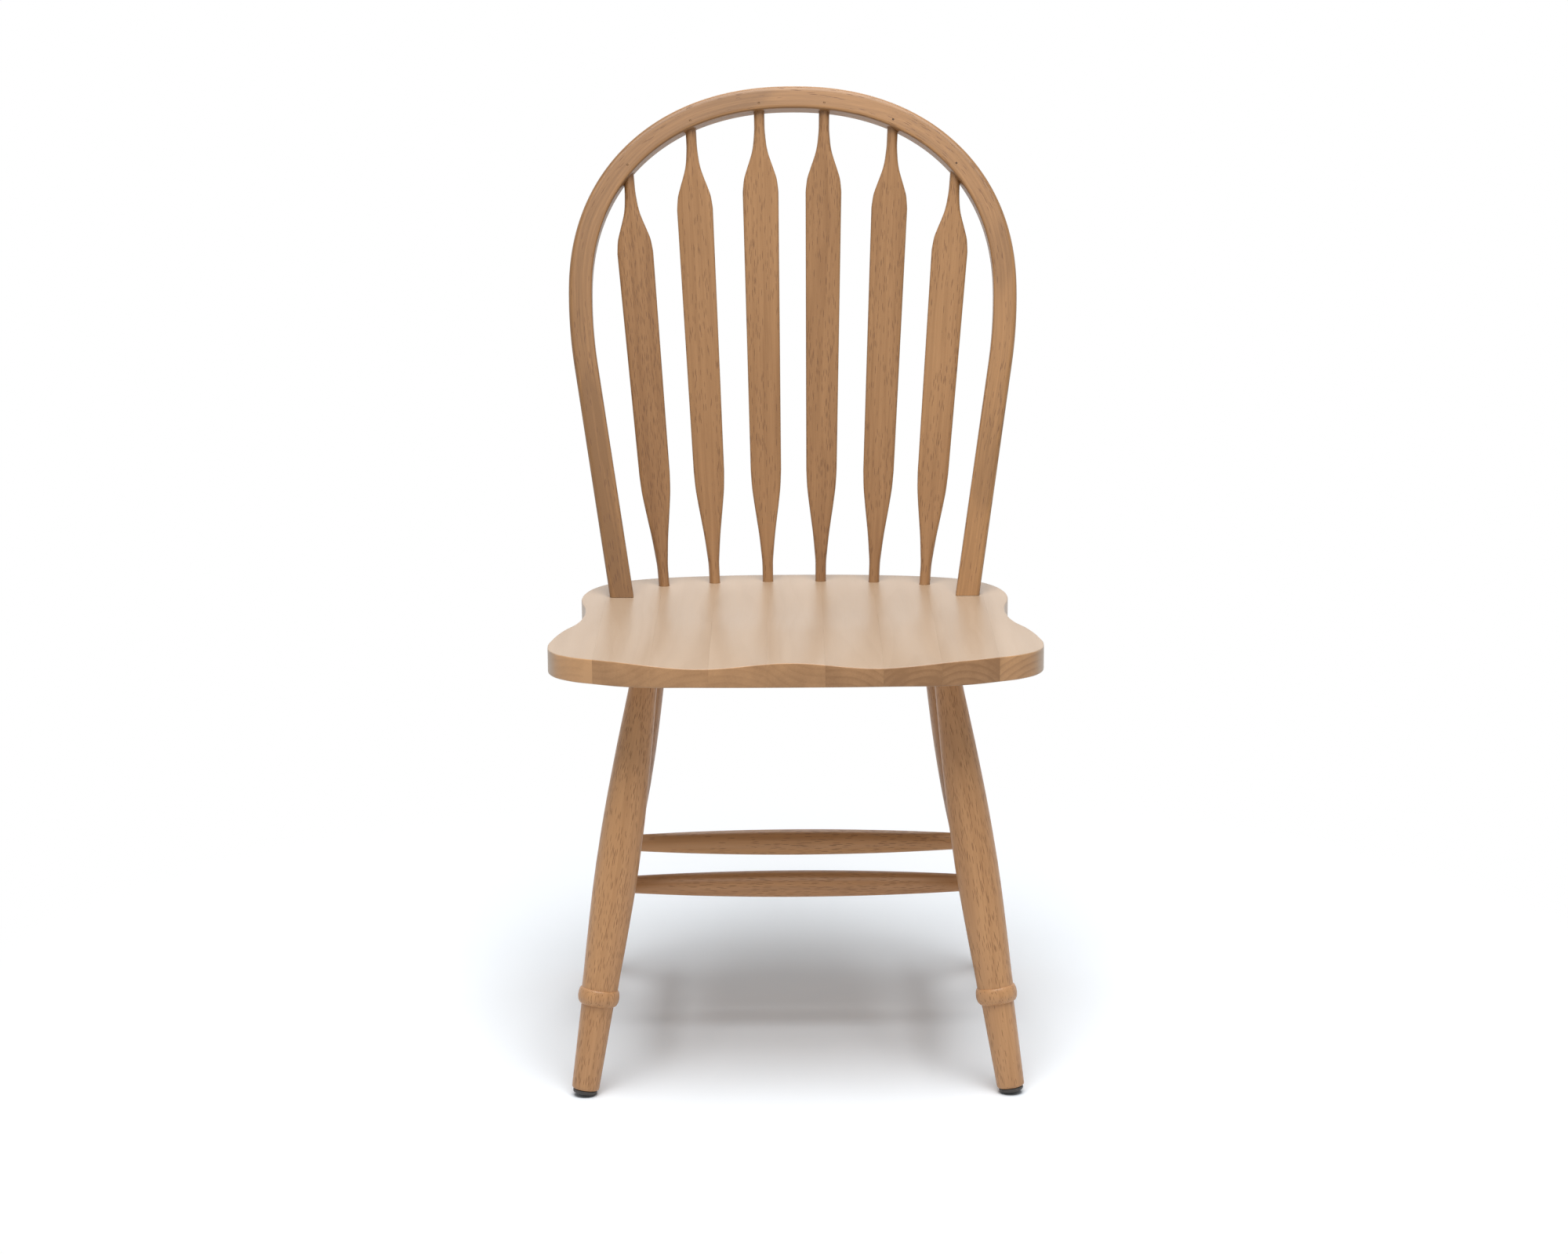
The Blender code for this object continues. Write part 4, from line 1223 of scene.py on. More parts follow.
@dataclass
class ArrowSpindles:
    """Six flat spindles, from the leftmost to the rightmost, with a round neck at each end.

    Attributes:
        line: The hoop's line, which their heads end on.
        foot_x: From the middle to each foot of one side, on the seat.
        foot_from_rear: From the seat's rear edge to each foot.
        head_shares: The same side's heads, as shares of the hoop's half width.
        lower_width: The blade's width at its lower end.
        upper_width: Its width at its upper end.
        lower_taper: The length over which the lower neck swells to the blade.
        upper_taper: The same for the upper neck.
        lower_swell: (share of the lower taper, share of the swell) points, from the seat up.
        upper_swell: The same from the hoop down.
        round_power: The section's fullness at the necks, where it is round.
        blade_power: Its fullness in the blade, whose flats are slightly crowned.
        squared_by: The swell at which the section is as full as the blade's.
    """

    line: HoopLine
    foot_x: tuple[float, ...] = (0.0285, 0.0860, 0.1403)
    foot_from_rear: tuple[float, ...] = (0.0340, 0.0405, 0.0550)
    head_shares: tuple[float, ...] = (0.155, 0.4813, 0.779)
    neck_radius: float = 0.0057
    blade_thickness: float = 0.010
    lower_width: float = 0.033
    upper_width: float = 0.0388
    lower_taper: float = 0.120
    upper_taper: float = 0.098
    tenon_length: float = 0.015
    head_socket_length: float = 0.036
    round_power: float = 2.0
    blade_power: float = 5.0
    squared_by: float = 0.5
    lower_swell: Table = (
        (0.00, 0.00),
        (0.15, 0.01),
        (0.29, 0.13),
        (0.43, 0.29),
        (0.57, 0.50),
        (0.72, 0.73),
        (0.86, 0.91),
        (1.00, 1.00),
    )
    upper_swell: Table = (
        (0.00, 0.00),
        (0.28, 0.00),
        (0.46, 0.09),
        (0.56, 0.21),
        (0.66, 0.42),
        (0.76, 0.66),
        (0.87, 0.89),
        (1.00, 1.00),
    )
    sides: int = 40
    rings: int = 190
    finish: WoodFinish = WoodFinish(
        pale=(0.415, 0.222, 0.096),
        deep=(0.245, 0.118, 0.044),
        pore=(0.125, 0.052, 0.018),
        streak_strength=0.9,
    )

    def numbers(self) -> range:
        """The spindles' numbers."""
        return range(1, 2 * len(self.foot_x) + 1)

    def place_of(self, count: int) -> tuple[int, Side]:
        """A spindle's place out from the middle, and its side."""
        half = len(self.foot_x)
        return (half - count, Side.LEFT) if count <= half else (count - half - 1, Side.RIGHT)

    def ends(self, count: int) -> tuple[Vector, Vector]:
        """The spindle's points on the seat's top and on the hoop's line."""
        index, side = self.place_of(count)
        seat = self.line.seat
        foot_x = side.value * self.foot_x[index]
        foot = seat.at(foot_x, seat.depth - self.foot_from_rear[index], seat.top)
        across = side.value * self.head_shares[index] * self.line.half_width
        return foot, self.line.point(across, self.line.crown_up(across))

    def way_up(self, count: int) -> Vector:
        """The unit vector from the spindle's foot to its head."""
        foot, head = self.ends(count)
        return (head - foot).normalized()

    def head_socket(self, count: int) -> bpy.types.Object:
        """The cutter of the spindle's socket in the hoop."""
        _, head = self.ends(count)
        mouth = head - self.way_up(count) * self.head_socket_length
        return peg(mouth, head, self.neck_radius + FIT_GAP)

    def foot_socket(self, count: int) -> bpy.types.Object:
        """The cutter of the spindle's socket in the seat."""
        foot, _ = self.ends(count)
        up = self.way_up(count)
        floor = foot - up * (self.tenon_length + FIT_GAP)
        return peg(floor, foot + up * OVERRUN, self.neck_radius + FIT_GAP)

    def swell_at(self, height: float, length: float) -> tuple[float, float]:
        """The swell from neck to blade, and the blade's half width, at a height above the seat."""
        blade_length = length - self.lower_taper - self.upper_taper
        share = min(max((height - self.lower_taper) / blade_length, 0), 1)
        half_width = (self.lower_width + (self.upper_width - self.lower_width) * share) / 2
        if height < self.lower_taper:
            return smooth_between(self.lower_swell, height / self.lower_taper), half_width
        return smooth_between(self.upper_swell, (length - height) / self.upper_taper), half_width

    def build(self, fasteners: "Fasteners") -> None:
        """Makes and dresses the spindles.

        Args:
            fasteners: The brads that pin their heads.
        """
        for count, cut in zip(self.numbers(), SPINDLE_CUTS):
            foot, head = self.ends(count)
            place = aim(foot, head)
            name = f"spindle_{count}"
            spindle = piece_from(f"{name}_arrow", self.form(place, (head - foot).length))
            shape_with(spindle, [fasteners.brad_hole(count)])
            lay_grain(spindle, GrainLine(place))
            dress(spindle, self.finish.material(name, cut), self.finish.slot, [name])

    def form(self, place: Matrix, length: float) -> bmesh.types.BMesh:
        """Shapes one spindle with its tenon.

        Args:
            place: Its frame, on the seat's top, with +Z up along it.
            length: From the seat's top to the hoop's line.

        Returns:
            The spindle's mesh.
        """
        reach = length - FIT_GAP + self.tenon_length

        def bend(turn: float, share: float) -> Vector:
            """Puts a point in place on a section that goes from round to flat with round edges."""
            height = share * reach - self.tenon_length
            swell, blade_half = self.swell_at(height, length)
            half_width = self.neck_radius + (blade_half - self.neck_radius) * swell
            half_depth = self.neck_radius + (self.blade_thickness / 2 - self.neck_radius) * swell
            squared = min(swell / self.squared_by, 1)
            power = 2 / (self.round_power + (self.blade_power - self.round_power) * squared)
            x, y = math.cos(turn), math.sin(turn)
            x = math.copysign(abs(x) ** power, x) * half_width
            y = math.copysign(abs(y) ** power, y) * half_depth
            return place @ Vector((x, y, height))

        return rod(self.sides, self.rings, bend)


@dataclass
class TurnedLegs:
    """Four turned legs that swell, draw in to a bead and taper to the floor.

    Attributes:
        seat: The seat that they carry.
        front_top: A front leg's place under the seat, across from the middle and back.
        front_foot: Its place on the floor.
        rear_top_x: A rear leg's place under the seat, across from the middle.
        rear_top_from_rear: The same from the seat's rear edge.
        rear_foot_x: Its place on the floor, across from the middle.
        rear_foot_behind_seat: How far behind the seat it stands.
        top_radius: The radius at the seat and of the tenon.
        belly_down: From the seat's underside to where the leg is thickest.
        ankle_radius: The radius above the bead.
        bead_down: From the seat's underside to the bead's middle.
        shin_radius: The radius below the bead.
        swell: (share of the way from the seat to the belly, share of the growth) points.
        draw: (share of the way from the belly to the bead, share of the growth left) points.
    """

    seat: Seat
    front_top: tuple[float, float] = (0.1499, 0.105)
    front_foot: tuple[float, float] = (0.2162, 0.042)
    rear_top_x: float = 0.1449
    rear_top_from_rear: float = 0.096
    rear_foot_x: float = 0.2219
    rear_foot_behind_seat: float = 0.019
    tenon_length: float = 0.015
    top_radius: float = 0.0130
    belly_radius: float = 0.0217
    belly_down: float = 0.205
    ankle_radius: float = 0.0183
    bead_down: float = 0.3395
    bead_radius: float = 0.0209
    bead_length: float = 0.0168
    shin_radius: float = 0.0164
    foot_radius: float = 0.0139
    foot_round: float = 0.0030
    sharp: float = 32.0
    steps: int = 72
    length_steps: int = 40
    bead_steps: int = 18
    round_steps: int = 5
    swell: Table = (
        (0.000, 0.00),
        (0.125, 0.14),
        (0.250, 0.32),
        (0.400, 0.54),
        (0.550, 0.72),
        (0.700, 0.87),
        (0.850, 0.96),
        (1.000, 1.00),
    )
    draw: Table = (
        (0.00, 1.00),
        (0.20, 0.93),
        (0.45, 0.69),
        (0.70, 0.38),
        (0.88, 0.10),
        (1.00, 0.00),
    )
    finish: WoodFinish = WoodFinish(pore=(0.215, 0.096, 0.036), ring_strength=0.22)

    def axis(self, pair: LegPair, side: Side) -> tuple[Vector, Vector]:
        """The leg's points on the seat's underside and on the floor."""
        if pair is LegPair.FRONT:
            top, foot = self.front_top, self.front_foot
        else:
            top = (self.rear_top_x, self.seat.depth - self.rear_top_from_rear)
            foot = (self.rear_foot_x, self.seat.depth + self.rear_foot_behind_seat)
        high = self.seat.at(side.value * top[0], top[1], self.seat.underside)
        return high, self.seat.at(side.value * foot[0], foot[1], 0)

    def way_up(self, pair: LegPair, side: Side) -> Vector:
        """The unit vector up along the leg."""
        top, floor = self.axis(pair, side)
        return (top - floor).normalized()

    def axis_at(self, pair: LegPair, side: Side, height: float) -> Vector:
        """The leg's axis at a height above the floor."""
        top, floor = self.axis(pair, side)
        return floor + (top - floor) * (height / top.z)

    def end(self, pair: LegPair, side: Side, glides: "Glides") -> Vector:
        """The middle of the foot's cut end, held up by its glide."""
        top, floor = self.axis(pair, side)
        tilt = (top - floor).angle(UP)
        lowest = math.hypot(glides.radius * math.sin(tilt), glides.dome * math.cos(tilt))
        height = (glides.side + FIT_GAP) * math.cos(tilt) + lowest - glides.flat
        return self.axis_at(pair, side, height)

    def profile(self, length: float) -> Profile:
        """(radius, height) points down the leg; height 0 is at the seat's underside."""
        tenon = self.tenon_length
        points = [(0.0, tenon), (self.top_radius, tenon), (self.top_radius, 0.0)]
        for step in range(1, self.length_steps + 1):
            share = step / self.length_steps
            grown = smooth_between(self.swell, share)
            radius = self.top_radius + (self.belly_radius - self.top_radius) * grown
            points.append((radius, -share * self.belly_down))
        bead_top = self.bead_down - self.bead_length / 2
        for step in range(1, self.length_steps + 1):
            share = step / self.length_steps
            left = smooth_between(self.draw, share)
            radius = self.ankle_radius + (self.belly_radius - self.ankle_radius) * left
            points.append((radius, -self.belly_down - share * (bead_top - self.belly_down)))
        for step in range(1, self.bead_steps + 1):
            turn = math.pi * (step / self.bead_steps - 1 / 2)
            root = self.ankle_radius if turn < 0 else self.shin_radius
            radius = root + (self.bead_radius - root) * math.cos(turn)
            points.append((radius, -self.bead_down - self.bead_length / 2 * math.sin(turn)))
        for sine, cosine in quarter_turn(self.round_steps):
            radius = self.foot_radius - self.foot_round * (1 - cosine)
            points.append((radius, self.foot_round * (1 - sine) - length))
        points.append((0.0, -length))
        return points

    def seat_socket(self, pair: LegPair, side: Side) -> bpy.types.Object:
        """The cutter of the leg's blind socket in the seat."""
        top, _ = self.axis(pair, side)
        up = self.way_up(pair, side)
        depth = self.tenon_length + FIT_GAP
        return peg(top - up * OVERRUN, top + up * depth, self.top_radius + FIT_GAP, self.steps)

    def build(self, stretchers: "Stretchers", glides: "Glides") -> None:
        """Makes and dresses the legs.

        Args:
            stretchers: The stretchers whose tenons they hold.
            glides: The glides under them.
        """
        for pair in LegPair:
            for side in Side:
                name = f"{pair.value}_{side.word}_leg"
                top, _ = self.axis(pair, side)
                place = aim(top, top + self.way_up(pair, side))
                length = (top - self.end(pair, side, glides)).length
                leg = piece_from(f"{name}_turned", turned(self.profile(length), self.steps, place))
                tools = [stretchers.leg_socket(pair, side), glides.nail_hole(pair, side)]
                shape_with(leg, tools, sharp=self.sharp)
                lay_grain(leg, GrainLine(place))
                dress(leg, self.finish.material(name, LEG_CUTS[pair, side]), self.finish.slot, [name])


@dataclass
class Stretchers:
    """A swelling stretcher on each side, and two across between them.

    Attributes:
        legs: The legs that the side stretchers join.
        height: Their height above the floor.
        shoulder: The length of the round at the end of a stretcher's body.
        cross_sharp: The angle in degrees past which a cross stretcher's edges stay sharp.
        cross_tenon_length: How deep a cross stretcher goes into a side stretcher.
        front_cross_back: The front cross stretcher's place, back from the seat's front edge.
        rear_cross_from_rear: The rear one's place, from the seat's rear edge.
    """

    legs: TurnedLegs
    height: float = 0.188
    middle_radius: float = 0.0137
    end_radius: float = 0.0088
    shoulder: float = 0.004
    side_tenon_radius: float = 0.0080
    side_tenon_length: float = 0.017
    cross_tenon_radius: float = 0.0065
    cross_tenon_length: float = 0.009
    front_cross_back: float = 0.154
    rear_cross_from_rear: float = 0.121
    cross_sharp: float = 32.0
    steps: int = 56
    length_steps: int = 64
    round_steps: int = 5
    finish: WoodFinish = WoodFinish(pore=(0.215, 0.096, 0.036), ring_strength=0.20)

    def stand_off(self, pair: LegPair) -> float:
        """How far from the leg's axis a side stretcher's shoulder clears the leg all round."""
        top, floor = self.legs.axis(pair, Side.RIGHT)
        lean = abs(top.y - floor.y) / top.z
        return self.legs.belly_radius * math.hypot(1, lean) + self.side_tenon_radius * lean

    def side_ends(self, side: Side) -> tuple[Vector, Vector]:
        """The middles of a side stretcher's shoulders, at the front leg and at the rear leg."""
        front = self.legs.axis_at(LegPair.FRONT, side, self.height)
        rear = self.legs.axis_at(LegPair.REAR, side, self.height)
        along = (rear - front).normalized()
        front_shoulder = front + along * self.stand_off(LegPair.FRONT)
        return front_shoulder, rear - along * self.stand_off(LegPair.REAR)

    def leg_socket(self, pair: LegPair, side: Side) -> bpy.types.Object:
        """The cutter of a side stretcher's socket in a leg."""
        front, rear = self.side_ends(side)
        along = (rear - front).normalized()
        shoulder, inward = (front, along) if pair is LegPair.FRONT else (rear, -along)
        floor = shoulder - inward * (self.side_tenon_length + FIT_GAP)
        return peg(floor, shoulder + inward * OVERRUN, self.side_tenon_radius + FIT_GAP)

    def radius_at(self, share: float) -> float:
        """A stretcher's radius at a share of the way from its middle to the end of its body."""
        return self.end_radius + (self.middle_radius - self.end_radius) * (1 - share**2)

    def profile(self, length: float, tenon_radius: float, tenon_length: float) -> Profile:
        """(radius, height) points down a stretcher centred on height 0.

        Args:
            length: From shoulder to shoulder.
            tenon_radius: The tenons' radius.
            tenon_length: How far they reach past the shoulders.

        Returns:
            The points.
        """
        reach = length / 2
        body = reach - self.shoulder
        half = [(0.0, reach + tenon_length), (tenon_radius, reach + tenon_length)]
        for sine, cosine in quarter_turn(self.round_steps):
            radius = tenon_radius + (self.end_radius - tenon_radius) * sine
            half.append((radius, body + self.shoulder * cosine))
        for step in range(1, self.length_steps // 2):
            share = 1 - 2 * step / self.length_steps
            half.append((self.radius_at(share), share * body))
        lower = [(radius, -height) for radius, height in reversed(half)]
        return half + [(self.middle_radius, 0.0)] + lower

    def cross_ends(self, back: float) -> dict[Side, tuple[Vector, float]]:
        """Where a cross stretcher meets the side stretchers' axes, with their radius there."""
        ends = {}
        for side in Side:
            front, rear = self.side_ends(side)
            share = (self.legs.seat.front + back - front.y) / (rear.y - front.y)
            meeting = front.lerp(rear, share)
            from_middle = (meeting - (front + rear) / 2).length
            body = (rear - front).length / 2 - self.shoulder
            ends[side] = meeting, self.radius_at(from_middle / body)
        return ends

    def build(self) -> None:
        """Makes and dresses the stretchers."""
        rear_back = self.legs.seat.depth - self.rear_cross_from_rear
        crosses = {"front_cross_stretcher": self.front_cross_back, "rear_cross_stretcher": rear_back}
        sockets: dict[Side, list[bpy.types.Object]] = {side: [] for side in Side}
        for name, back in crosses.items():
            ends = self.cross_ends(back)
            for side, (meeting, radius) in ends.items():
                outward = ACROSS * side.value
                floor = meeting + outward * (self.cross_tenon_length - radius + FIT_GAP)
                mouth = meeting - outward * (radius + OVERRUN)
                sockets[side].append(peg(floor, mouth, self.cross_tenon_radius + FIT_GAP))
            (left, left_radius), (right, right_radius) = ends.values()
            length = (right - left).length - left_radius - right_radius
            profile = self.profile(length, self.cross_tenon_radius, self.cross_tenon_length)
            self.finish_piece(name, profile, aim((left + right) / 2, right, BACK), [])
        for side in Side:
            front, rear = self.side_ends(side)
            length = (rear - front).length
            profile = self.profile(length, self.side_tenon_radius, self.side_tenon_length)
            place = aim((front + rear) / 2, rear)
            self.finish_piece(f"{side.word}_side_stretcher", profile, place, sockets[side])

    def finish_piece(
        self, name: str, profile: Profile, place: Matrix, tools: Sequence[bpy.types.Object]
    ) -> None:
        """Turns, bores and dresses one stretcher.

        Args:
            name: The frame's node that it stands for.
            profile: Its (radius, height) points.
            place: Its frame, at its middle, with +Z along it.
            tools: The cutters of the sockets in it.
        """
        bm = turned(profile, self.steps, place)
        stretcher = piece_from(f"{name}_turned", bm, self.cross_sharp)
        if tools:
            shape_with(stretcher, tools)
        lay_grain(stretcher, GrainLine(place))
        dress(stretcher, self.finish.material(name, STRETCHER_CUTS[name]), self.finish.slot, [name])


@dataclass
class Glides:
    """Domed plastic glides, worn flat where they stand on the floor.

    Attributes:
        legs: The legs that they are nailed to.
        side: The height of the straight side above the dome.
        dome: How far the dome stands out below it.
        edge: The round at the top.
        flat: How much of the dome is worn off.
        lip: The plastic left over the nail's head.
    """

    legs: TurnedLegs
    radius: float = 0.0122
    side: float = 0.0014
    dome: float = 0.0046
    edge: float = 0.0004
    flat: float = 0.0007
    lip: float = 0.0010
    nail_radius: float = 0.0012
    nail_length: float = 0.018
    nail_head_radius: float = 0.0040
    nail_head_thickness: float = 0.0008
    sharp: float = 28.0
    steps: int = 56
    dome_steps: int = 18
    edge_steps: int = 4
    finish: PlasticFinish = PlasticFinish()

    def place(self, pair: LegPair, side: Side) -> Matrix:
        """The glide's frame: the middle of its top, with +Z up along the leg."""
        end = self.legs.end(pair, side, self)
        return aim(end - self.legs.way_up(pair, side) * FIT_GAP, end)

    def nail_hole(self, pair: LegPair, side: Side) -> bpy.types.Object:
        """The cutter of the nail's hole in the leg."""
        end = self.legs.end(pair, side, self)
        up = self.legs.way_up(pair, side)
        tip = end + up * (self.nail_length + FIT_GAP)
        return peg(end - up * OVERRUN, tip, self.nail_radius + FIT_GAP)

    def profile(self) -> Profile:
        """(radius, height) points from the nail head's pocket, over the top and down the dome."""
        floor = -(self.lip + self.nail_head_thickness + 2 * FIT_GAP)
        pocket = self.nail_head_radius + FIT_GAP
        hole = self.nail_radius + FIT_GAP
        points = [(0.0, floor), (pocket, floor), (pocket, -self.lip), (hole, -self.lip), (hole, 0.0)]
        for sine, cosine in quarter_turn(self.edge_steps):
            points.append((self.radius - self.edge * (1 - sine), -self.edge * (1 - cosine)))
        for sine, cosine in quarter_turn(self.dome_steps)[:-1]:
            points.append((self.radius * cosine, -self.side - self.dome * sine))
        points.append((0.0, -self.side - self.dome))
        return points

    def build(self) -> None:
        """Makes and dresses the four glides."""
        plastic = self.finish.material("glide_plastic")
        for pair in LegPair:
            for side in Side:
                bm = turned(self.profile(), self.steps, self.place(pair, side))
                saw(bm, Vector(), -UP)
                name = f"{pair.value}_{side.word}_glide"
                glide = piece_from(f"{name}_domed", bm, self.sharp)
                dress(glide, plastic, self.finish.slot, [name])


@dataclass
class Fasteners:
    """The hoop's screws, the spindles' brads and the glides' nails, all nodes of the frame.

    Attributes:
        hoop: The hoop that the screws and brads go into.
        spindles: The spindles that the brads pin.
        screw_head_sunk: How deep a screw's counterbore is.
        brad_below_centre: From the hoop's line down the spindle to its brad.
        dark_brads: The spindles whose brads lie under dark filler.
    """

    hoop: Hoop
    spindles: ArrowSpindles
    screw_radius: float = 0.0022
    screw_length: float = 0.036
    screw_head_radius: float = 0.0042
    screw_head_sunk: float = 0.0048
    brad_radius: float = 0.0008
    brad_length: float = 0.016
    brad_below_centre: float = 0.0055
    brad_steps: int = 24
    dark_brads: tuple[int, ...] = (5, 6)
    finish: SteelFinish = SteelFinish()
    filler: FillerFinish = FillerFinish(colour=(0.330, 0.170, 0.068), fleck=(0.250, 0.122, 0.046))
    dark_filler: FillerFinish = FillerFinish(colour=(0.090, 0.046, 0.022), fleck=(0.050, 0.026, 0.013))

    def screw_ends(self, side: Side) -> tuple[Vector, Vector, Vector]:
        """A screw's counterbore floor, its point and the middle of the counterbore's mouth."""
        foot, up = self.hoop.line.end(side)
        seat = self.hoop.line.seat
        mouth = foot - up * ((seat.top - seat.underside) / up.z)
        floor = mouth + up * self.screw_head_sunk
        return floor, floor + up * self.screw_length, mouth

    def seat_holes(self, side: Side) -> list[bpy.types.Object]:
        """The cutters of a screw's hole and counterbore, and of the hoop's tenon, in the seat."""
        floor, tip, mouth = self.screw_ends(side)
        foot, up = self.hoop.line.end(side)
        tenon_end = foot - up * (self.hoop.tenon_length + FIT_GAP)
        return [
            peg(floor - up * OVERRUN, tip, self.screw_radius + FIT_GAP),
            peg(mouth - up * OVERRUN, floor, self.screw_head_radius + FIT_GAP),
            peg(tenon_end, foot + up * OVERRUN, self.hoop.tenon_radius + FIT_GAP),
        ]

    def hoop_holes(self) -> list[bpy.types.Object]:
        """The cutters of the screws' and brads' holes in the hoop."""
        holes = [self.brad_hole(count) for count in self.spindles.numbers()]
        for side in Side:
            floor, tip, _ = self.screw_ends(side)
            _, up = self.hoop.line.end(side)
            holes.append(peg(floor - up * OVERRUN, tip, self.screw_radius + FIT_GAP))
        return holes

    def brad_line(self, count: int) -> tuple[Vector, Vector]:
        """A brad's point and the middle of its hole's mouth in the hoop's front face."""
        _, head = self.spindles.ends(count)
        on_axis = head - self.spindles.way_up(count) * self.brad_below_centre
        way = self.hoop.line.front_way
        middle = on_axis - way * (on_axis - self.hoop.line.point(0, 0)).dot(way)
        mouth = middle + way * self.hoop.depth / 2
        return mouth - way * (self.brad_length + FIT_GAP), mouth

    def brad_hole(self, count: int) -> bpy.types.Object:
        """The cutter of a brad's hole, through the hoop's front face into the spindle."""
        tip, mouth = self.brad_line(count)
        way = self.hoop.line.front_way
        radius = self.brad_radius + FIT_GAP
        return peg(tip - way * FIT_GAP, mouth + way * OVERRUN, radius, self.brad_steps)

    def build(self) -> None:
        """Dresses the frame's own fasteners; a brad's head lies under stained filler."""
        steel = self.finish.material("steel")
        filler = self.filler.material("stained_filler")
        dark_filler = self.dark_filler.material("dark_filler")
        for name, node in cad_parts.items():
            if "brad" in name:
                finish = dark_filler if int(name[-1]) in self.dark_brads else filler
            elif "screw" in name or "nail" in name:
                finish = steel
            else:
                continue
            for slot in node.material_slots:
                slot.material = finish
            log.info("%s: frame node, dressed", name)


SEAT_BOARD_CUTS = (
    WoodCut(seed=11, tone=0.06, pith=(0.010, 0.050), end_tone=0.42),
    WoodCut(seed=12, tone=0.02, pith=(-0.020, -0.070)),
    WoodCut(seed=13, tone=0.04, pith=(0.030, 0.090), end_tone=-0.08),
    WoodCut(seed=14, tone=0.05, pith=(-0.012, 0.080), end_tone=-0.05),
    WoodCut(seed=15, tone=0.00, pith=(0.024, -0.075), end_tone=-0.07),
    WoodCut(seed=16, tone=-0.05, pith=(-0.018, 0.060), end_tone=-0.20, end_rings=0.04),
    WoodCut(seed=17, tone=-0.08, pith=(0.012, 0.034), end_tone=-0.26, end_rings=0.12),
    WoodCut(seed=18, tone=-0.05, pith=(-0.008, 0.030), end_tone=-0.34, end_rings=0.10),
    WoodCut(seed=19, tone=0.08, pith=(0.014, 0.036), end_tone=0.10, end_rings=0.16),
)
# The spindles' tones, darkest on spindle 1 at the left and lightest on spindle 6 at the right, are
# partly random wood tone and partly painted light falling from the right.
SPINDLE_CUTS = (
    WoodCut(seed=21, tone=-0.18, pores=1.00, pith=(0.030, 0.050)),
    WoodCut(seed=22, tone=0.10, pores=0.32, pith=(-0.060, 0.040)),
    WoodCut(seed=23, tone=0.08, pores=0.36, pith=(0.050, 0.080)),
    WoodCut(seed=24, tone=-0.10, pores=0.50, pith=(-0.020, 0.070)),
    WoodCut(seed=25, tone=0.00, pores=0.34, pith=(0.080, 0.030)),
    WoodCut(seed=26, tone=0.16, pores=0.36, pith=(-0.040, 0.060)),
)
# The front legs' tones above 0 are partly their own wood and partly painted light: they lift the legs
# in place of the light that the floor bounces up and the front sends in.
LEG_CUTS = {
    (LegPair.FRONT, Side.LEFT): WoodCut(seed=31, tone=0.26, pores=0.65),
    (LegPair.FRONT, Side.RIGHT): WoodCut(seed=32, tone=0.22, pores=0.65),
    (LegPair.REAR, Side.LEFT): WoodCut(seed=33, tone=-0.02, pores=0.60),
    (LegPair.REAR, Side.RIGHT): WoodCut(seed=34, tone=-0.02, pores=0.60),
}
STRETCHER_CUTS = {
    "front_cross_stretcher": WoodCut(seed=41, tone=-0.10, pores=0.60),
    "rear_cross_stretcher": WoodCut(seed=42, tone=0.40, pores=0.60),
    "left_side_stretcher": WoodCut(seed=43, tone=0.0, pores=0.55),
    "right_side_stretcher": WoodCut(seed=44, tone=-0.02, pores=0.55),
}


@dataclass(frozen=True)
class SoftLight:
    """A square area light.

    Attributes:
        name: Its name.
        place: Its middle.
        size: Its width and height.
        power: Its power in watts.
        target: The point that it faces.
    """

    name: str
    place: Point
    size: float
    power: float
    target: Point = (0.0, 0.0, 0.3)

    def build(self) -> None:
        """Adds the light to the scene."""
        light = bpy.data.lights.new(self.name, "AREA")
        light.shape = "SQUARE"
        light.size = self.size
        light.energy = self.power
        lamp = bpy.data.objects.new(self.name, light)
        lamp.location = self.place
        away = Vector(self.place) - Vector(self.target)
        lamp.rotation_euler = away.to_track_quat("Z", "Y").to_euler()
        bpy.context.scene.collection.objects.link(lamp)


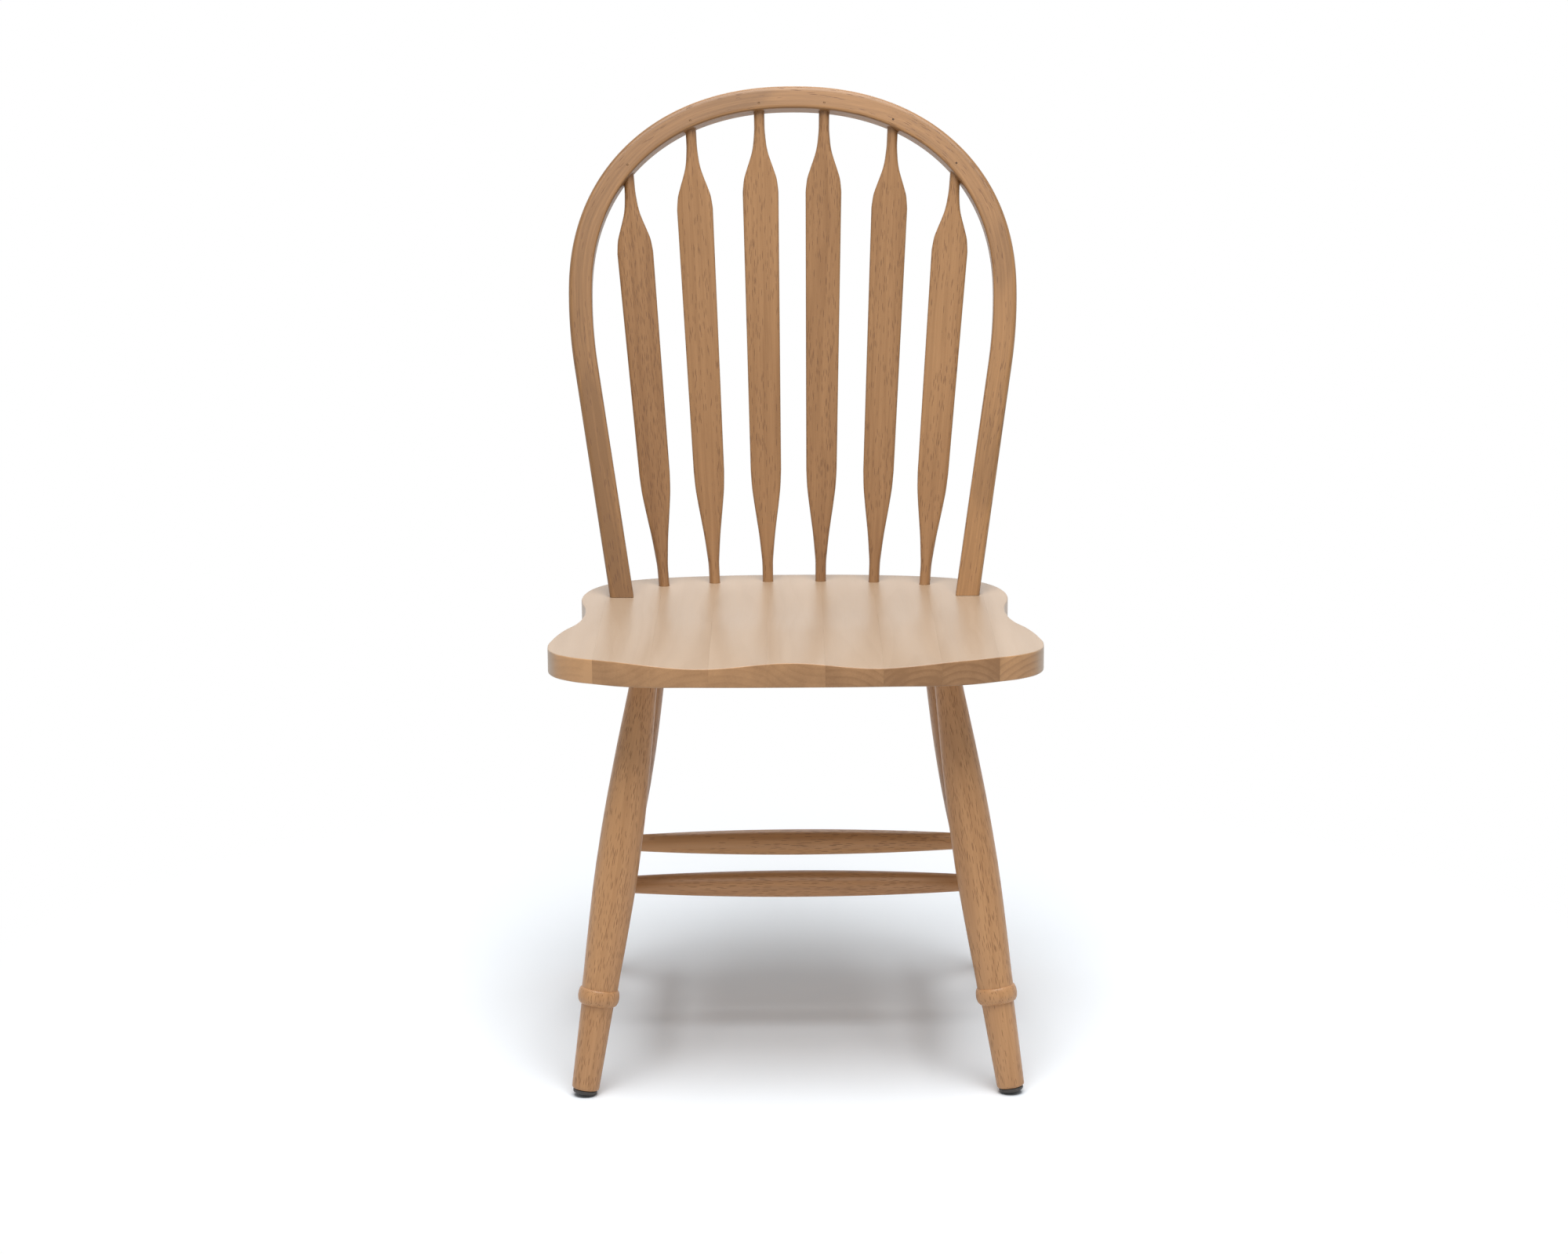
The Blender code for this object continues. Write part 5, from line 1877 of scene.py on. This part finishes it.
@dataclass
class Studio:
    """A plain pale floor, soft light and the photograph's view.

    Attributes:
        seat: The seat, which the view is measured from.
        view_distance: The camera's distance in front of the seat's front edge.
        view_height: Its height above the floor.
        view_across: Its place across the chair.
        view_pitch: How far it looks down.
        view_roll: How far it is turned about its own line of sight.
        lens: Its focal length in millimetres.
        sensor: Its sensor's width in millimetres.
        floor_fade: How far from the chair's middle the floor starts to turn white and is white.
        floor_seen: The floor's colour to the camera near the chair.
        floor_deep: The darkest colour in which it throws light back on the chair.
        floor_pale: The palest.
        floor_cells: How many cells to the metre its mottle has.
        world_light: The world's strength as a light.
        lights: One large soft light over the chair and a smaller one behind it.
    """

    seat: Seat
    view_distance: float = 3.286
    view_height: float = 1.2149
    view_across: float = -0.0115
    view_pitch: float = math.radians(12.390)
    view_roll: float = 0.006
    lens: float = 79.656
    sensor: float = 36.0
    floor_radius: float = 70.0
    floor_sides: int = 64
    floor_fade: Limits = (0.40, 1.00)
    floor_seen: Colour = (0.975, 1.020, 1.065)
    floor_deep: Colour = (0.80, 0.80, 0.80)
    floor_pale: Colour = (0.82, 0.82, 0.82)
    floor_cells: float = 3.0
    world_light: float = 0.22
    lights: tuple[SoftLight, ...] = (
        SoftLight("overhead", (0.05, -1.05, 3.5), size=2.6, power=142.0),
        SoftLight("behind", (0.1, 2.5, 3.2), size=2.0, power=28.0),
    )

    def build(self) -> None:
        """Makes the floor, the lights, the world and the camera."""
        self.make_floor()
        for light in self.lights:
            light.build()
        self.make_world()
        self.make_camera()
        bpy.context.scene.view_settings.view_transform = "Standard"

    def make_floor(self) -> None:
        """The floor, white to the camera away from the chair."""
        bm = bmesh.new()
        bmesh.ops.create_circle(bm, cap_ends=True, segments=self.floor_sides, radius=self.floor_radius)
        floor = piece_from("studio_floor", bm)
        material = bpy.data.materials.new("floor_paper")
        nodes = Nodes(material)
        mottle = nodes.mottle(self.floor_cells, 2.0)
        paper = nodes.mix(mottle, opaque(self.floor_deep), opaque(self.floor_pale))
        matte = nodes.add("BsdfDiffuse", {"Color": paper})
        near = nodes.add("BsdfDiffuse", {"Color": opaque(self.floor_seen)})
        white = nodes.add("Emission", {"Color": opaque(WHITE), "Strength": 1.0})
        away = nodes.number("LENGTH", nodes.add("TexCoord").outputs["Object"])
        fade = nodes.smooth(away, self.floor_fade)
        seen = nodes.add("MixShader", {0: fade, 1: near.outputs[0], 2: white.outputs[0]})
        inputs = {0: nodes.background_rays(), 1: matte.outputs[0], 2: seen.outputs[0]}
        shader = nodes.add("MixShader", inputs)
        nodes.add("OutputMaterial", {"Surface": shader.outputs[0]})
        floor.data.materials.append(material)

    def make_world(self) -> None:
        """White for the camera and for reflections, softer as a light."""
        world = bpy.data.worlds.new("studio")
        nodes = Nodes(world)
        seen = nodes.background_rays()
        strength = nodes.math("MULTIPLY_ADD", seen, 1 - self.world_light, self.world_light)
        background = nodes.add("Background", {"Color": opaque(WHITE), "Strength": strength})
        nodes.add("OutputWorld", {"Surface": background.outputs[0]})
        bpy.context.scene.world = world

    def make_camera(self) -> None:
        """The camera at the photograph's view."""
        camera = bpy.data.cameras.new("photograph_view")
        camera.lens = self.lens
        camera.sensor_width = self.sensor
        eye = bpy.data.objects.new("photograph_view", camera)
        place = self.seat.at(self.view_across, -self.view_distance, self.view_height)
        stand = Matrix.Translation(place)
        tilt = Matrix.Rotation(math.pi / 2 - self.view_pitch, 4, "X")
        roll = Matrix.Rotation(-self.view_roll, 4, "Z")
        eye.matrix_world = stand @ tilt @ roll
        bpy.context.scene.collection.objects.link(eye)
        bpy.context.scene.camera = eye


def main() -> None:
    """Builds the chair's sub-assemblies in order, then the studio."""
    logging.basicConfig(level=logging.INFO, format="%(name)s: %(message)s")
    seat = Seat()
    line = HoopLine(seat)
    hoop = Hoop(line)
    spindles = ArrowSpindles(line)
    fasteners = Fasteners(hoop, spindles)
    legs = TurnedLegs(seat)
    stretchers = Stretchers(legs)
    glides = Glides(legs)

    sockets = [spindles.foot_socket(count) for count in spindles.numbers()]
    for side in Side:
        sockets += fasteners.seat_holes(side)
        sockets += [legs.seat_socket(pair, side) for pair in LegPair]
    seat.build(sockets)
    hoop.build(spindles, fasteners)
    spindles.build(fasteners)
    legs.build(stretchers, glides)
    stretchers.build()
    glides.build()
    fasteners.build()
    Studio(seat).build()


if __name__ == "__main__":
    main()
